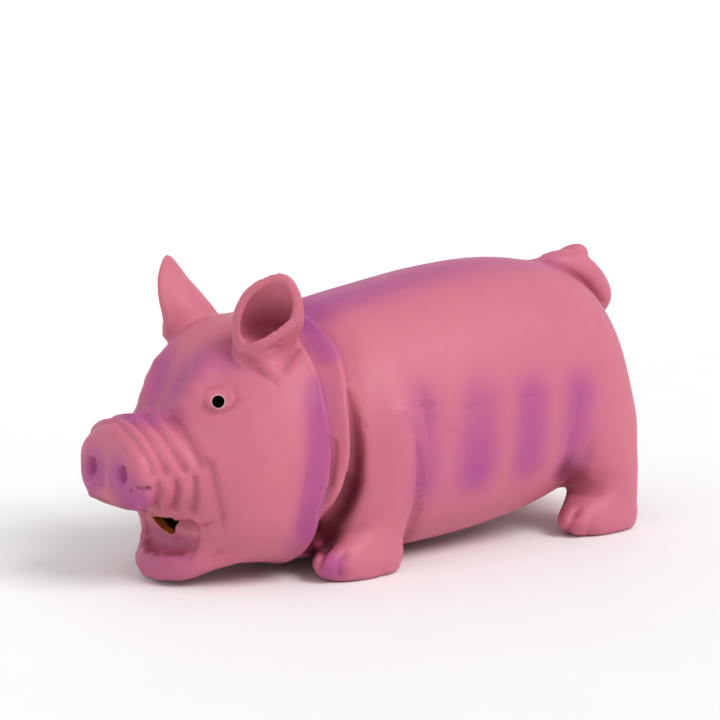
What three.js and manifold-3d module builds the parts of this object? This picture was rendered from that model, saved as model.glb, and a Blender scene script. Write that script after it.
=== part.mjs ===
// Squeeze toy in the shape of a pig: a hollow latex skin, its stuffing and the grunter behind its mouth.
// Millimetres, +Z up. The snout points to -X, the soles stand on z = 0, and both sides of the pig are alike.
import * as THREE from 'three';
import { mergeVertices } from 'three/addons/utils/BufferGeometryUtils.js';
import Module from 'manifold-3d';

// Overall sizes of the casting
const snoutLength = 20;
const snoutWidth = 40;
const snoutHeight = 30;
const snoutCentre = 42;
const headLength = 52;
const headWidth = 82;
const headHeight = 87;
const trunkLength = 146;
const trunkWidth = 87;
const trunkHeight = 98;
const latexWall = 2.6;
const backFullness = 2.05;
const bellyFullness = 2.7;

// Grooves round the snout and folds behind the jowl
const snoutDisc = 6;
const snoutGrooveCount = 4;
const snoutGroovePitch = 4.6;
const snoutGrooveDepth = 1.5;
const snoutGrooveWidth = 1.25;
const neckFoldCount = 3;
const neckFoldPitch = 7.5;
const neckFoldDepth = 3.2;
const neckFoldThinning = 0.85;
const neckFoldWidth = 3.6;
const neckFoldEdge = 1.1;
const neckFoldBow = 4.5;

// Mouth, lower jaw and the ragged hole that the air is squeezed out of
const jawReach = 3;
const jawWidth = 40;
const jawLength = 34;
const jawDepth = 22;
const jawLift = 1.2;
const mouthWidth = 35;
const mouthHeight = 15;
const mouthDepth = 11;
const mouthCentre = 15.5;
const airHoleWidth = 9;
const airHoleHeight = 6;
const airHoleRise = 3;
const nostrilSpacing = 19;
const nostrilSize = 7;
const nostrilDepth = 2.6;

// Eyes, ears and tail
const eyeLength = 12;
const eyeHeight = 8;
const eyeBulge = 1.5;
const eyeSunk = 1.25;
const eyeTurn = 28;
const eyeBehindSnout = 11;
const eyeRise = 61.5;
const earLength = 29.6;
const earWidth = 20.4;
const earCup = 21;
const earWall = 2.6;
const earSpacing = 46;
const earFromBrow = 18;
const earBelowTop = 10.5;
const earSweep = 9.5;
const earLean = 10.5;
const earTurn = 39;
const tailStrand = 11.4;
const tailReach = 34;
const tailDrop = 25;
const tailCurl = 8.5;
const tailTip = 1.5;

// Legs and feet
const frontLegSpacing = 61;
const frontLegFromNeck = 12;
const hindLegSpacing = 64;
const hindLegFromRump = 26;
const ankleWidth = 23;
const footLength = 39;
const footWidth = 22.5;
const footRise = 11;
const shoulderRise = 60;
const hipRise = 58;
const toeNotch = 1.8;
const toeNotchAngle = 0.22;
const toeIn = 12;
const legTuck = 6;

// Hole in the belly that the stuffing goes in through, and the disc that closes it
const fillHoleDiameter = 24;
const fillHoleFromNeck = 76;
const plugFlange = 4;
const plugFlangeThickness = 1.2;

// Grunter: a barrel with a reed that vibrates on a slotted block
const barrelDiameter = 25;
const barrelWall = 1.5;
const barrelTilt = 8;
const barrelBehindMouth = 5;
const barrelAboveThroat = 1.6;
const airRoom = 6;
const capFlange = 1.6;
const capSpigot = 5;
const capFloor = 2.6;
const soundHole = 4;
const inletHole = 3;
const inletHoleCount = 6;
const inletEdge = 1.6;
const blockTop = 1;
const blockBeyondReed = 1.3;
const slotDepth = 4;
const clampLength = 6;
const clampWall = 1.8;
const clampFromCap = 1;
const reedLength = 27;
const reedThickness = 0.35;
const reedHeel = 4;
const reedRise = 4;
const reedInset = 1.2;
const reedSideLap = 1;
const reedEndLap = 1.7;

// Clearances
const glueGap = 0.3;
const reedHeelGap = 0.45;
const clampBoreGap = 0.6;

// How finely rounded forms are cut into flats
const roundSides = 24;
const smallRoundSides = 10;
const outerDetail = { sides: 32, pitch: 9.5, groovePitch: 1.2, soften: 1 };
const innerDetail = { sides: 22, pitch: 10, groovePitch: 2.6, soften: 2.4 };
const outerLimb = {
  sides: 16,
  footRings: [-0.35, 0, 0.2, 0.4, 0.62, 0.85, 1.1, 1.4],
  legRings: [0.34, 0.44, 0.56, 0.68, 0.78, 0.87, 0.94, 1],
};
const innerLimb = { sides: 10, footRings: [-0.35, 0.4, 0.85, 1.4], legRings: [0.44, 0.68, 0.87, 1] };
const tailDetail = { sides: 9, rings: 22 };

// Cutting blocks reach this far, which is outside everything
const beyond = 400;

const wasm = await Module();
wasm.setup();

// Solids: a closed geometry becomes a manifold and goes back to a geometry
function solidOf(geometry, matrix) {
  const bare = geometry.clone();
  bare.deleteAttribute('normal');
  bare.deleteAttribute('uv');
  if (matrix) {
    bare.applyMatrix4(matrix);
  }
  const merged = mergeVertices(bare, 1e-4);
  const kept = [];
  const index = merged.index.array;
  for (let i = 0; i < index.length; i += 3) {
    const [a, b, c] = [index[i], index[i + 1], index[i + 2]];
    if (a !== b && b !== c && c !== a) {
      kept.push(a, b, c);
    }
  }
  const make = (triangles) => new wasm.Manifold(new wasm.Mesh({
    numProp: 3,
    vertProperties: merged.attributes.position.array,
    triVerts: new Uint32Array(triangles),
  }));
  const made = make(kept);
  if (made.volume() > 0) {
    return made;
  }
  // Its faces point inwards, so each is turned over
  for (let i = 0; i < kept.length; i += 3) {
    [kept[i + 1], kept[i + 2]] = [kept[i + 2], kept[i + 1]];
  }
  return make(kept);
}

function geometryOf(solid) {
  const mesh = solid.getMesh();
  const geometry = new THREE.BufferGeometry();
  geometry.setAttribute('position', new THREE.BufferAttribute(mesh.vertProperties, 3));
  geometry.setIndex(new THREE.BufferAttribute(mesh.triVerts, 1));
  const flat = geometry.toNonIndexed();
  flat.computeVertexNormals();
  return flat;
}

const joined = (solids) => solids.reduce((sum, next) => sum.add(next));

const moved = (x, y, z) => new THREE.Matrix4().makeTranslation(x, y, z);

function block(x0, x1, y0, y1, z0, z1) {
  const box = new THREE.BoxGeometry(x1 - x0, y1 - y0, z1 - z0);
  return solidOf(box, moved((x0 + x1) / 2, (y0 + y1) / 2, (z0 + z1) / 2));
}

// A lathe about Z, turned so that its axis points along the matrix's Z
function turned(profile, matrix, sides = roundSides) {
  const points = profile.map(([radius, height]) => new THREE.Vector2(radius, height));
  const lathe = new THREE.LatheGeometry(points, sides);
  lathe.rotateX(Math.PI / 2);
  return solidOf(lathe, matrix);
}

function ellipsoid(centre, radii, sides = roundSides) {
  const ball = new THREE.SphereGeometry(1, sides, sides / 2);
  const matrix = moved(centre.x, centre.y, centre.z).scale(new THREE.Vector3(radii.x, radii.y, radii.z));
  return solidOf(ball, matrix);
}

const middleOf = (ring) => ring
  .reduce((sum, point) => sum.add(point), new THREE.Vector3())
  .divideScalar(ring.length);

// A closed solid through rings of equal count, with a fan from each tip
function loft(rings, firstTip = middleOf(rings[0]), lastTip = middleOf(rings[rings.length - 1])) {
  const sides = rings[0].length;
  const points = [...rings.flat(), firstTip, lastTip];
  const first = points.length - 2;
  const last = points.length - 1;
  const index = [];
  for (let j = 0; j < sides; j += 1) {
    const k = (j + 1) % sides;
    index.push(first, k, j);
    const end = (rings.length - 1) * sides;
    index.push(last, end + j, end + k);
    for (let i = 0; i < rings.length - 1; i += 1) {
      const here = i * sides;
      const next = here + sides;
      index.push(here + j, here + k, next + k, here + j, next + k, next + j);
    }
  }
  const geometry = new THREE.BufferGeometry().setFromPoints(points);
  geometry.setIndex(index);
  return solidOf(geometry);
}

// A smooth curve through values at uneven places
function smoothAt(places, values, place) {
  const last = places.length - 1;
  let i = 0;
  while (i < last - 1 && place > places[i + 1]) {
    i += 1;
  }
  const slope = (k) => {
    const a = Math.max(k - 1, 0);
    const b = Math.min(k + 1, last);
    return (values[b] - values[a]) / (places[b] - places[a]);
  };
  const span = places[i + 1] - places[i];
  const t = Math.min(Math.max((place - places[i]) / span, 0), 1);
  const rise = t * t * (3 - 2 * t);
  const lead = t * (1 - t) * (1 - t) * span;
  const trail = t * t * (1 - t) * span;
  return values[i] * (1 - rise) + values[i + 1] * rise + slope(i) * lead - slope(i + 1) * trail;
}

// Head and trunk: one casting along X, as sections with a top, a widest line, a bottom and a half width
const neckX = -32;
const headFront = neckX - headLength;
const snoutFront = headFront - snoutLength;
const rumpX = neckX + trunkLength;

// Shares of the part's length, height and half width: along, top, widest, bottom, half width
const snoutRows = [
  [0.00, 0.15, 0.00, 0.15, 0.00],
  [0.03, 0.74, 0.00, 0.74, 0.76],
  [0.10, 0.90, 0.00, 0.90, 0.92],
  [0.24, 0.97, 0.00, 0.96, 0.99],
  [0.60, 1.01, 0.00, 1.00, 1.02],
].map(([along, top, widest, bottom, half]) => ({
  x: snoutFront + along * snoutLength,
  top: snoutCentre + top * snoutHeight / 2,
  widest: snoutCentre + widest * snoutHeight / 2,
  bottom: snoutCentre - bottom * snoutHeight / 2,
  half: half * snoutWidth / 2,
  peak: backFullness,
}));

function spread(rows, start, length, width, height) {
  return rows.map(([along, top, widest, bottom, half, peak = backFullness]) => ({
    x: start + along * length,
    top: top * height,
    widest: widest * height,
    bottom: bottom * height,
    half: half * width / 2,
    peak,
  }));
}

// The face and the rump add how full the upper half is: the brow is narrower than the cheeks
const headRows = spread([
  [0.000, 0.665, 0.460, 0.276, 0.57, 2.00],
  [0.077, 0.725, 0.448, 0.195, 0.66, 1.80],
  [0.135, 0.795, 0.443, 0.135, 0.72, 1.72],
  [0.210, 0.868, 0.437, 0.095, 0.80, 1.70],
  [0.327, 0.931, 0.443, 0.066, 0.89, 1.80],
  [0.500, 0.977, 0.448, 0.050, 0.96, 1.95],
  [0.710, 0.992, 0.460, 0.038, 1.00],
  [0.880, 0.985, 0.470, 0.030, 1.00],
], headFront, headLength, headWidth, headHeight);

const trunkRows = spread([
  [0.00, 0.872, 0.440, 0.024, 0.95],
  [0.10, 0.905, 0.450, 0.015, 0.98],
  [0.25, 0.942, 0.460, 0.016, 1.00],
  [0.42, 0.978, 0.480, 0.030, 1.00],
  [0.60, 0.992, 0.490, 0.075, 0.99],
  [0.76, 0.962, 0.485, 0.155, 0.94],
  [0.86, 0.912, 0.440, 0.220, 0.84, 1.95],
  [0.92, 0.855, 0.400, 0.250, 0.69, 1.75],
  [0.965, 0.750, 0.375, 0.275, 0.50, 1.60],
  [0.99, 0.600, 0.360, 0.300, 0.29, 1.60],
  [1.00, 0.370, 0.360, 0.350, 0.00],
], neckX, trunkLength, trunkWidth, trunkHeight);

const bodyRows = [...snoutRows, ...headRows, ...trunkRows];
const bodyPlaces = bodyRows.map((row) => row.x);
const squares = {
  up: bodyRows.map((row) => (row.top - row.widest) ** 2),
  down: bodyRows.map((row) => (row.widest - row.bottom) ** 2),
  half: bodyRows.map((row) => row.half ** 2),
};
const widestLine = bodyRows.map((row) => row.widest);
const peaks = bodyRows.map((row) => row.peak);

function sectionAt(x) {
  const reach = (kind) => Math.sqrt(Math.max(smoothAt(bodyPlaces, squares[kind], x), 0));
  const widest = smoothAt(bodyPlaces, widestLine, x);
  const peak = smoothAt(bodyPlaces, peaks, x);
  return { widest, peak, up: reach('up'), down: reach('down'), half: reach('half') };
}

// Grooves that run over the top and sides of the snout, and folds that run all round the neck
const snoutGrooves = Array.from({ length: snoutGrooveCount }, (_, i) => ({
  x: snoutFront + snoutDisc + i * snoutGroovePitch,
  depth: snoutGrooveDepth,
  front: snoutGrooveWidth,
  back: snoutGrooveWidth,
  pitch: snoutGrooveWidth,
  bow: 0,
  over: true,
}));

// The jowl and each roll of the neck overlap what lies behind them: a steep edge, then a slow rise.
// The jowl's edge bows forwards at half height, and the rolls behind it are flatter and straighter
const neckFolds = Array.from({ length: neckFoldCount }, (_, i) => {
  const behind = i / neckFoldCount;
  return {
    x: neckX - (neckFoldCount - 1 - i) * neckFoldPitch,
    depth: neckFoldDepth * (1 - neckFoldThinning * behind),
    front: neckFoldEdge,
    back: neckFoldWidth,
    pitch: neckFoldWidth / 2,
    bow: neckFoldBow * (1 - behind) ** 2,
    over: false,
  };
});
const grooves = [...snoutGrooves, ...neckFolds];

// A snout groove fades out on its way down the side, and is gone under the snout
const fadeHeight = 0.55;
const fadeRate = 4;
const overTheTop = (height) => 0.5 + 0.5 * Math.tanh(fadeRate * (height + fadeHeight));

function grooveDepth(x, angle, soften) {
  const depths = grooves.map((groove) => {
    const past = x - groove.x + groove.bow * Math.cos(angle) ** 2;
    const width = past < 0 ? groove.front : groove.back;
    const shape = Math.exp(-((past / (width * soften)) ** 2));
    return groove.depth * shape * (groove.over ? overTheTop(Math.sin(angle)) : 1);
  });
  return Math.max(...depths);
}

// An inner ring is drawn in square to the surface, so it is drawn in further where that is steep
const slopeStep = 0.5;
const steepest = 2.5;

function bodyRing(x, inset, detail) {
  const section = sectionAt(x);
  const from = Math.max(x - slopeStep, snoutFront);
  const to = Math.min(x + slopeStep, rumpX);
  const [before, after] = [sectionAt(from), sectionAt(to)];
  const reach = (kind, sign) => {
    const rise = after[kind] - before[kind] + sign * (after.widest - before.widest);
    return section[kind] - inset * Math.min(Math.hypot(1, rise / (to - from)), steepest);
  };
  const up = reach('up', 1);
  const down = reach('down', -1);
  const half = reach('half', 0);
  return Array.from({ length: detail.sides }, (_, j) => {
    const angle = (2 * Math.PI * j) / detail.sides;
    const [c, s] = [Math.cos(angle), Math.sin(angle)];
    const power = 2 / (s > 0 ? section.peak : bellyFullness);
    const y = half * Math.sign(c) * Math.abs(c) ** power;
    const z = (s > 0 ? up : down) * Math.sign(s) * Math.abs(s) ** power;
    const shrink = 1 - grooveDepth(x, angle, detail.soften) / Math.hypot(y, z);
    return new THREE.Vector3(x, y * shrink, section.widest + z * shrink);
  });
}

// Ring places: close together at both rounded ends and over the grooves
const endGaps = [0.25, 0.9, 2.2, 4.2];
const endRound = 5.2;
const grooveReach = 2.2;

function ringPlaces(detail) {
  const places = endGaps.flatMap((gap) => [snoutFront + gap, rumpX - gap]);
  const spans = grooves.map((groove) => ({
    from: groove.x - groove.bow - groove.front * grooveReach,
    to: groove.x + groove.back * grooveReach,
    pitch: detail.groovePitch * groove.pitch,
  }));
  let x = snoutFront + endRound;
  while (x < rumpX - endRound) {
    places.push(x);
    const place = x;
    const inside = spans.find((span) => place >= span.from && place < span.to);
    const ahead = spans.map((span) => span.from).filter((from) => from > place + 1);
    x = inside ? x + inside.pitch : Math.min(x + detail.pitch, ...ahead);
  }
  return places.sort((a, b) => a - b);
}

// The latex pools at both ends of the mould, so the wall is thicker there.
// Every inner surface takes its rings at the same places, so that none crosses the next
const endWall = 1.6 * latexWall;
const innerEnd = 8;

function bodySolid(inset, detail) {
  if (inset > 0) {
    const gap = inset - latexWall;
    const endRing = (x, shift) => bodyRing(x, inset, detail).map((point) => point.setX(x + shift));
    const between = ringPlaces(detail).filter((x) => x > snoutFront + innerEnd && x < rumpX - innerEnd);
    return loft([
      endRing(snoutFront + endWall, gap),
      ...between.map((x) => bodyRing(x, inset, detail)),
      endRing(rumpX - endWall, -gap),
    ]);
  }
  const rings = ringPlaces(detail).map((x) => bodyRing(x, 0, detail));
  const tipOf = (ring, x) => new THREE.Vector3(x, 0, middleOf(ring).z);
  return loft(rings, tipOf(rings[0], snoutFront), tipOf(rings[rings.length - 1], rumpX));
}

// Half width of the outside at a place and height
function sideAt(x, z) {
  const section = sectionAt(x);
  const rise = z - section.widest;
  const share = Math.abs(rise) / (rise > 0 ? section.up : section.down);
  const fullness = rise > 0 ? section.peak : bellyFullness;
  return section.half * (1 - share ** fullness) ** (1 / fullness);
}

// Lower jaw: a thick lip that runs back into the cheeks.
// Shares of its length, depth and half width: along, top, bottom, half width
const jawFront = headFront - jawReach;
const jawRows = [
  [0.00, 0.10, 0.10, 0.00],
  [0.05, 0.35, 0.05, 0.50],
  [0.18, 0.47, 0.01, 0.78],
  [0.40, 0.75, 0.06, 1.05],
  [0.70, 1.10, 0.20, 1.25],
  [1.00, 1.50, 0.50, 1.30],
];
const jawRings = [0.004, 0.02, 0.05, 0.1, 0.16, 0.24, 0.34, 0.46, 0.6, 0.75, 1];

function columnOf(rows, column, along) {
  return smoothAt(rows.map((row) => row[0]), rows.map((row) => row[column]), along);
}

function jawSolid() {
  const roundedRows = jawRows.map(([along, top, bottom, half]) => [along, top, bottom, half ** 2]);
  const rings = jawRings.map((along) => {
    const top = jawLift + jawDepth * columnOf(roundedRows, 1, along);
    const bottom = jawLift + jawDepth * columnOf(roundedRows, 2, along);
    const half = (jawWidth / 2) * Math.sqrt(Math.max(columnOf(roundedRows, 3, along), 0));
    return Array.from({ length: innerDetail.sides }, (_, j) => {
      const angle = (2 * Math.PI * j) / innerDetail.sides;
      const z = (top + bottom) / 2 + ((top - bottom) / 2) * Math.sin(angle);
      return new THREE.Vector3(jawFront + along * jawLength, half * Math.cos(angle), z);
    });
  });
  const tip = new THREE.Vector3(jawFront, 0, jawLift + jawRows[0][1] * jawDepth);
  return loft(rings, tip);
}

const mouthPlace = new THREE.Vector3(jawFront + 1, 0, mouthCentre);
const mouthRadii = new THREE.Vector3(mouthDepth, mouthWidth / 2, mouthHeight / 2);
const mouthHollow = (extra) => ellipsoid(mouthPlace, mouthRadii.clone().addScalar(extra));

// Ragged seven-sided hole through the back of the mouth, as shares of its width and height
const airHoleOutline = [
  [-0.50, 0.42],
  [0.05, 0.50],
  [0.50, 0.40],
  [0.46, -0.15],
  [0.30, -0.50],
  [-0.12, -0.36],
  [-0.44, -0.05],
];

function airHole() {
  const outline = new THREE.Shape(airHoleOutline.map(
    ([across, up]) => new THREE.Vector2(across * airHoleWidth, up * airHoleHeight)));
  const depth = 2 * (mouthDepth + latexWall);
  const prism = new THREE.ExtrudeGeometry(outline, { depth, bevelEnabled: false });
  prism.rotateX(Math.PI / 2);
  prism.rotateZ(Math.PI / 2);
  return solidOf(prism, moved(mouthPlace.x, 0, mouthCentre + airHoleRise));
}

// Ears: a cone scooped out from the front, with its back swept down to the head.
// Shares of the length, width and cup: along, middle across, middle deep, width, cup, opening and its tilt
const earRows = [
  [-0.36, 0.30, -0.64, 0.34, 0.40, -0.24, 0.40],
  [-0.14, 0.15, -0.48, 0.64, 0.68, -0.14, 0.40],
  [0.10, 0.02, -0.38, 0.82, 0.86, -0.05, 0.40],
  [0.34, 0.00, -0.29, 0.96, 1.00, -0.04, 0.15],
  [0.57, 0.03, -0.15, 1.00, 0.78, -0.05, 0.00],
  [0.76, 0.05, -0.06, 0.82, 0.50, -0.04, 0.00],
  [0.90, 0.05, -0.01, 0.53, 0.30, -0.03, 0.00],
  [0.98, 0.03, 0.00, 0.22, 0.13, -0.01, 0.00],
];
const earRings = [-0.36, -0.14, -0.02, 0.1, 0.22, 0.34, 0.46, 0.57, 0.71, 0.82, 0.91, 0.98];
const earSides = 12;
const earFacingUp = -0.15;
const earShear = -0.5;
const earScoopLift = 0.9;
const earFloor = 1;
const earSolidTip = 1.5;
const openingPlaces = [-1, -0.5, -0.3, -0.1, 0.1, 0.3, 0.5, 1].map((share) => share * earWidth);

function earSolid(side) {
  const turn = THREE.MathUtils.degToRad(90 - earTurn);
  const root = new THREE.Vector3(headFront + earFromBrow, (side * earSpacing) / 2, headHeight - earBelowTop);
  const run = Math.sqrt(earLength ** 2 - earSweep ** 2 - earLean ** 2);
  const rise = new THREE.Vector3(earSweep, side * earLean, run).normalize();
  const front = new THREE.Vector3(-Math.cos(turn), side * Math.sin(turn), earFacingUp);
  const across = new THREE.Vector3().crossVectors(front, rise).normalize().multiplyScalar(side);
  const facing = new THREE.Vector3().crossVectors(rise, across).multiplyScalar(side);
  const place = (u, v, w) => root.clone()
    .addScaledVector(rise, u)
    .addScaledVector(across, v)
    .addScaledVector(facing, w);
  const rowAt = (along) => {
    const at = (column) => columnOf(earRows, column, along);
    return {
      u: along * earLength,
      across: at(1) * earWidth,
      deep: at(2) * earCup,
      half: (at(3) * earWidth) / 2,
      reach: (at(4) * earCup) / 2,
      open: at(5) * earCup,
      tilt: at(6),
    };
  };
  const oval = (row, wall, lift) => Array.from({ length: earSides }, (_, j) => {
    const angle = (2 * Math.PI * j) / earSides;
    const w = row.deep + lift + (row.reach - wall / 2) * Math.sin(angle);
    return place(row.u, row.across + earShear * (w - lift) + (row.half - wall) * Math.cos(angle), w);
  });
  const rows = earRings.map(rowAt);
  const cone = loft(rows.map((row) => oval(row, 0, 0)));
  const scoop = loft(rows
    .filter((row) => row.u > earFloor && row.half > earSolidTip * earWall)
    .map((row) => oval(row, earWall, earScoopLift)));
  const lastRow = rows[rows.length - 1];
  const opening = loft([...rows, { ...lastRow, u: lastRow.u + earWall }]
    .filter((row) => row.u > earFloor - earWall)
    .map((row) => [
      ...openingPlaces.map((v) => place(row.u, v, row.open + row.tilt * v)),
      ...[earWidth, -earWidth].map((v) => place(row.u, v, earCup)),
    ]));
  return cone.subtract(scoop).subtract(opening);
}

// Tail: a strand that leaves the back as a ridge, lies down over the rump and curls back up beside itself.
// Its route as shares of the reach back, the curl's width and the drop: behind, aside and below the root
const tailRoute = [
  [-0.06, 0.00, 0.20],
  [0.18, 0.00, 0.10],
  [0.41, -0.12, 0.04],
  [0.60, -0.24, 0.12],
  [0.73, -0.35, 0.30],
  [0.82, -0.29, 0.52],
  [0.82, 0.18, 0.65],
  [0.76, 0.71, 0.56],
  [0.68, 0.88, 0.34],
  [0.57, 0.71, 0.14],
  [0.53, 0.41, 0.00],
  [0.56, 0.12, -0.12],
  [0.62, -0.06, -0.15],
];
const tailRootBehind = 32;
const tailRootBelow = 5;
const tailThinning = 0.5;
const tailThins = 3;

function tailSolid() {
  const root = new THREE.Vector3(rumpX - tailRootBehind, 0, trunkHeight - tailRootBelow);
  const points = tailRoute.map(([behind, aside, below]) => root.clone()
    .add(new THREE.Vector3(behind * tailReach, aside * tailCurl, -below * tailDrop)));
  const path = new THREE.CatmullRomCurve3(points);
  const frames = path.computeFrenetFrames(tailDetail.rings, false);
  const rings = Array.from({ length: tailDetail.rings + 1 }, (_, i) => {
    const along = i / tailDetail.rings;
    const radius = (tailStrand / 2) * (1 - tailThinning * along ** tailThins);
    return Array.from({ length: tailDetail.sides }, (_unused, j) => {
      const angle = (2 * Math.PI * j) / tailDetail.sides;
      return path.getPointAt(along)
        .addScaledVector(frames.normals[i], radius * Math.cos(angle))
        .addScaledVector(frames.binormals[i], radius * Math.sin(angle));
    });
  });
  const tip = path.getPointAt(1).addScaledVector(path.getTangentAt(1), tailTip);
  return loft(rings, path.getPointAt(0), tip);
}

// Legs: rings from above the shoulder down through the floor, which cuts the sole flat
const legs = [
  { x: neckX + frontLegFromNeck, y: frontLegSpacing / 2, top: shoulderRise, sweep: 13.5, thigh: 1.08 },
  { x: rumpX - hindLegFromRump, y: hindLegSpacing / 2, top: hipRise, sweep: -3, thigh: 1.25 },
];
const sweepPower = 0.75;
const tuckPower = 6;

// Height, reach to the front, reach to the back and half width of a leg, from under the sole to the shoulder
function legRows(leg) {
  const ankle = ankleWidth / 2;
  const toes = footLength - ankleWidth;
  return [
    [-0.35 * footRise, 0.60 * toes + 0.7 * ankle, 0.75 * ankle, 0.36 * footWidth],
    [0, 0.78 * toes + 0.86 * ankle, 0.86 * ankle, 0.44 * footWidth],
    [0.4 * footRise, toes + ankle, 0.96 * ankle, 0.5 * footWidth],
    [0.85 * footRise, 0.84 * toes + ankle, 0.94 * ankle, 0.49 * footWidth],
    [1.4 * footRise, 0.18 * toes + ankle, ankle, ankle],
    [0.44 * leg.top, 1.08 * ankle, leg.thigh * ankle, 1.04 * ankle],
    [0.68 * leg.top, leg.thigh * ankle, 1.06 * leg.thigh * ankle, 1.02 * ankle],
    [0.87 * leg.top, 0.9 * ankle, ankle, 0.8 * ankle],
    [leg.top, 0.45 * ankle, 0.5 * ankle, 0.4 * ankle],
  ];
}

function legSolid(leg, side, inset, detail) {
  const rows = legRows(leg);
  const turn = THREE.MathUtils.degToRad(-side * toeIn);
  const axis = new THREE.Vector3(0, 0, 1);
  const heights = [
    ...detail.footRings.map((share) => share * footRise),
    ...detail.legRings.map((share) => share * (leg.top - inset)),
  ];
  const rings = heights.map((z) => {
    const climb = Math.max(z, 0) / leg.top;
    const half = columnOf(rows, 3, z) - inset;
    const drift = leg.sweep * climb ** sweepPower;
    const place = new THREE.Vector3(leg.x + drift, side * (leg.y - legTuck * climb ** tuckPower), 0);
    return Array.from({ length: detail.sides }, (_unused, j) => {
      const angle = (2 * Math.PI * j) / detail.sides;
      const isNotched = inset === 0 && z <= footRise;
      const notch = isNotched ? toeNotch * Math.exp(-(((angle - Math.PI) / toeNotchAngle) ** 2)) : 0;
      const reach = columnOf(rows, Math.cos(angle) < 0 ? 1 : 2, z) - inset - notch;
      return new THREE.Vector3(reach * Math.cos(angle), half * Math.sin(angle), z)
        .applyAxisAngle(axis, turn)
        .add(place);
    });
  });
  return loft(rings);
}

const bothSides = [-1, 1];
const allLegs = (inset, detail) => joined(
  legs.flatMap((leg) => bothSides.map((side) => legSolid(leg, side, inset, detail))));

function eyeSolid(side) {
  const x = headFront + eyeBehindSnout;
  const y = side * (sideAt(x, eyeRise) - eyeSunk);
  const ball = new THREE.SphereGeometry(1, 16, 10);
  const matrix = moved(x, y, eyeRise)
    .multiply(new THREE.Matrix4().makeRotationZ(side * THREE.MathUtils.degToRad(eyeTurn)))
    .scale(new THREE.Vector3(eyeLength / 2, eyeBulge, eyeHeight / 2));
  return solidOf(ball, matrix);
}

const nostrilDrop = 1.5;
function nostril(side) {
  const centre = new THREE.Vector3(snoutFront, (side * nostrilSpacing) / 2, snoutCentre - nostrilDrop);
  const radii = new THREE.Vector3(nostrilDepth, 0.5 * nostrilSize, 0.6 * nostrilSize);
  return ellipsoid(centre, radii, outerLimb.sides);
}

// The hollow inside the skin, drawn in by a further gap for whatever fills it
const bodyHollow = (gap) => bodySolid(latexWall + gap, innerDetail)
  .subtract(mouthHollow(latexWall + gap));
const limbHollow = (gap) => allLegs(latexWall + gap, innerLimb)
  .intersect(block(-beyond, beyond, -beyond, beyond, latexWall + gap, beyond));
const hollow = (gap) => bodyHollow(gap).add(limbHollow(gap));

const shaftAt = (radius, z0, z1, matrix, sides) => turned(
  [[0, z0], [radius, z0], [radius, z1], [0, z1]], matrix, sides);
const fillHolePlace = moved(neckX + fillHoleFromNeck, 0, 0);
const bellyShaft = (radius) => shaftAt(radius, -latexWall, trunkHeight / 3, fillHolePlace);

const outside = joined([
  bodySolid(0, outerDetail),
  jawSolid(),
  allLegs(0, outerLimb),
  tailSolid(),
  ...bothSides.flatMap((side) => [earSolid(side), eyeSolid(side)]),
]);
const ground = block(-beyond, beyond, -beyond, beyond, -beyond, 0);
const skin = outside
  .subtract(ground)
  .subtract(hollow(0))
  .subtract(mouthHollow(0))
  .subtract(airHole())
  .subtract(nostril(-1))
  .subtract(nostril(1))
  .subtract(bellyShaft(fillHoleDiameter / 2));

// Closing disc: the round of belly that was cut out, with a flange glued behind the edge of the hole
const flangeRadius = fillHoleDiameter / 2 + plugFlange;
const behindFlange = hollow(glueGap + plugFlangeThickness);
const plugDisc = outside.subtract(behindFlange).intersect(bellyShaft(fillHoleDiameter / 2 - glueGap));
const flangeRing = hollow(glueGap).subtract(behindFlange).intersect(bellyShaft(flangeRadius));
const bellyPlug = plugDisc.add(flangeRing);

// Grunter, made along its own axis: z = 0 is its front face at the mouth, +Z goes back into the toy, +X is up
const barrelRadius = barrelDiameter / 2;
const bore = barrelRadius - barrelWall;
const grunterX = mouthPlace.x + mouthDepth + latexWall + barrelBehindMouth;
const throat = sectionAt(grunterX);
const throatFloor = throat.widest - throat.down + latexWall;
const grunterFrame = moved(grunterX, 0, throatFloor + barrelAboveThroat + barrelRadius)
  .multiply(new THREE.Matrix4().makeRotationY(THREE.MathUtils.degToRad(90 - barrelTilt)))
  .multiply(new THREE.Matrix4().makeRotationZ(Math.PI));

// The clamp is a square ring inscribed in the bore, and the block and reed take their widths from it
const clampOuter = (bore - clampBoreGap) * Math.SQRT1_2;
const clampInner = clampOuter - clampWall;
const blockHalf = clampInner - glueGap;
const reedHalf = blockHalf - reedInset;
const slotHalf = reedHalf - reedSideLap;

// Places along the axis, from the front cap to the rear one
const blockFront = capFloor + glueGap;
const clampFront = capFlange + capSpigot + clampFromCap;
const clampBack = clampFront + clampLength;
const heelFront = clampFront + (clampLength - reedHeel) / 2;
const heelBack = heelFront + reedHeel;
const reedTip = heelFront + reedLength;
const slotBack = reedTip - reedEndLap;
const blockBack = reedTip + blockBeyondReed;
const barrelFront = capFlange + glueGap;
const barrelBack = blockBack + airRoom + capSpigot - glueGap;
const grunterBack = barrelBack + glueGap + capFlange;

const barrel = turned([
  [bore, barrelFront],
  [barrelRadius, barrelFront],
  [barrelRadius, barrelBack],
  [bore, barrelBack],
  [bore, barrelFront],
]);

// A cap is a flange that covers the end of the barrel and a spigot that fits in its bore
const spigotRadius = bore - glueGap;
const capDepth = capFlange + capSpigot;
const cap = turned([
  [0, 0],
  [barrelRadius, 0],
  [barrelRadius, capFlange],
  [spigotRadius, capFlange],
  [spigotRadius, capDepth],
  [0, capDepth],
]);

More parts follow.
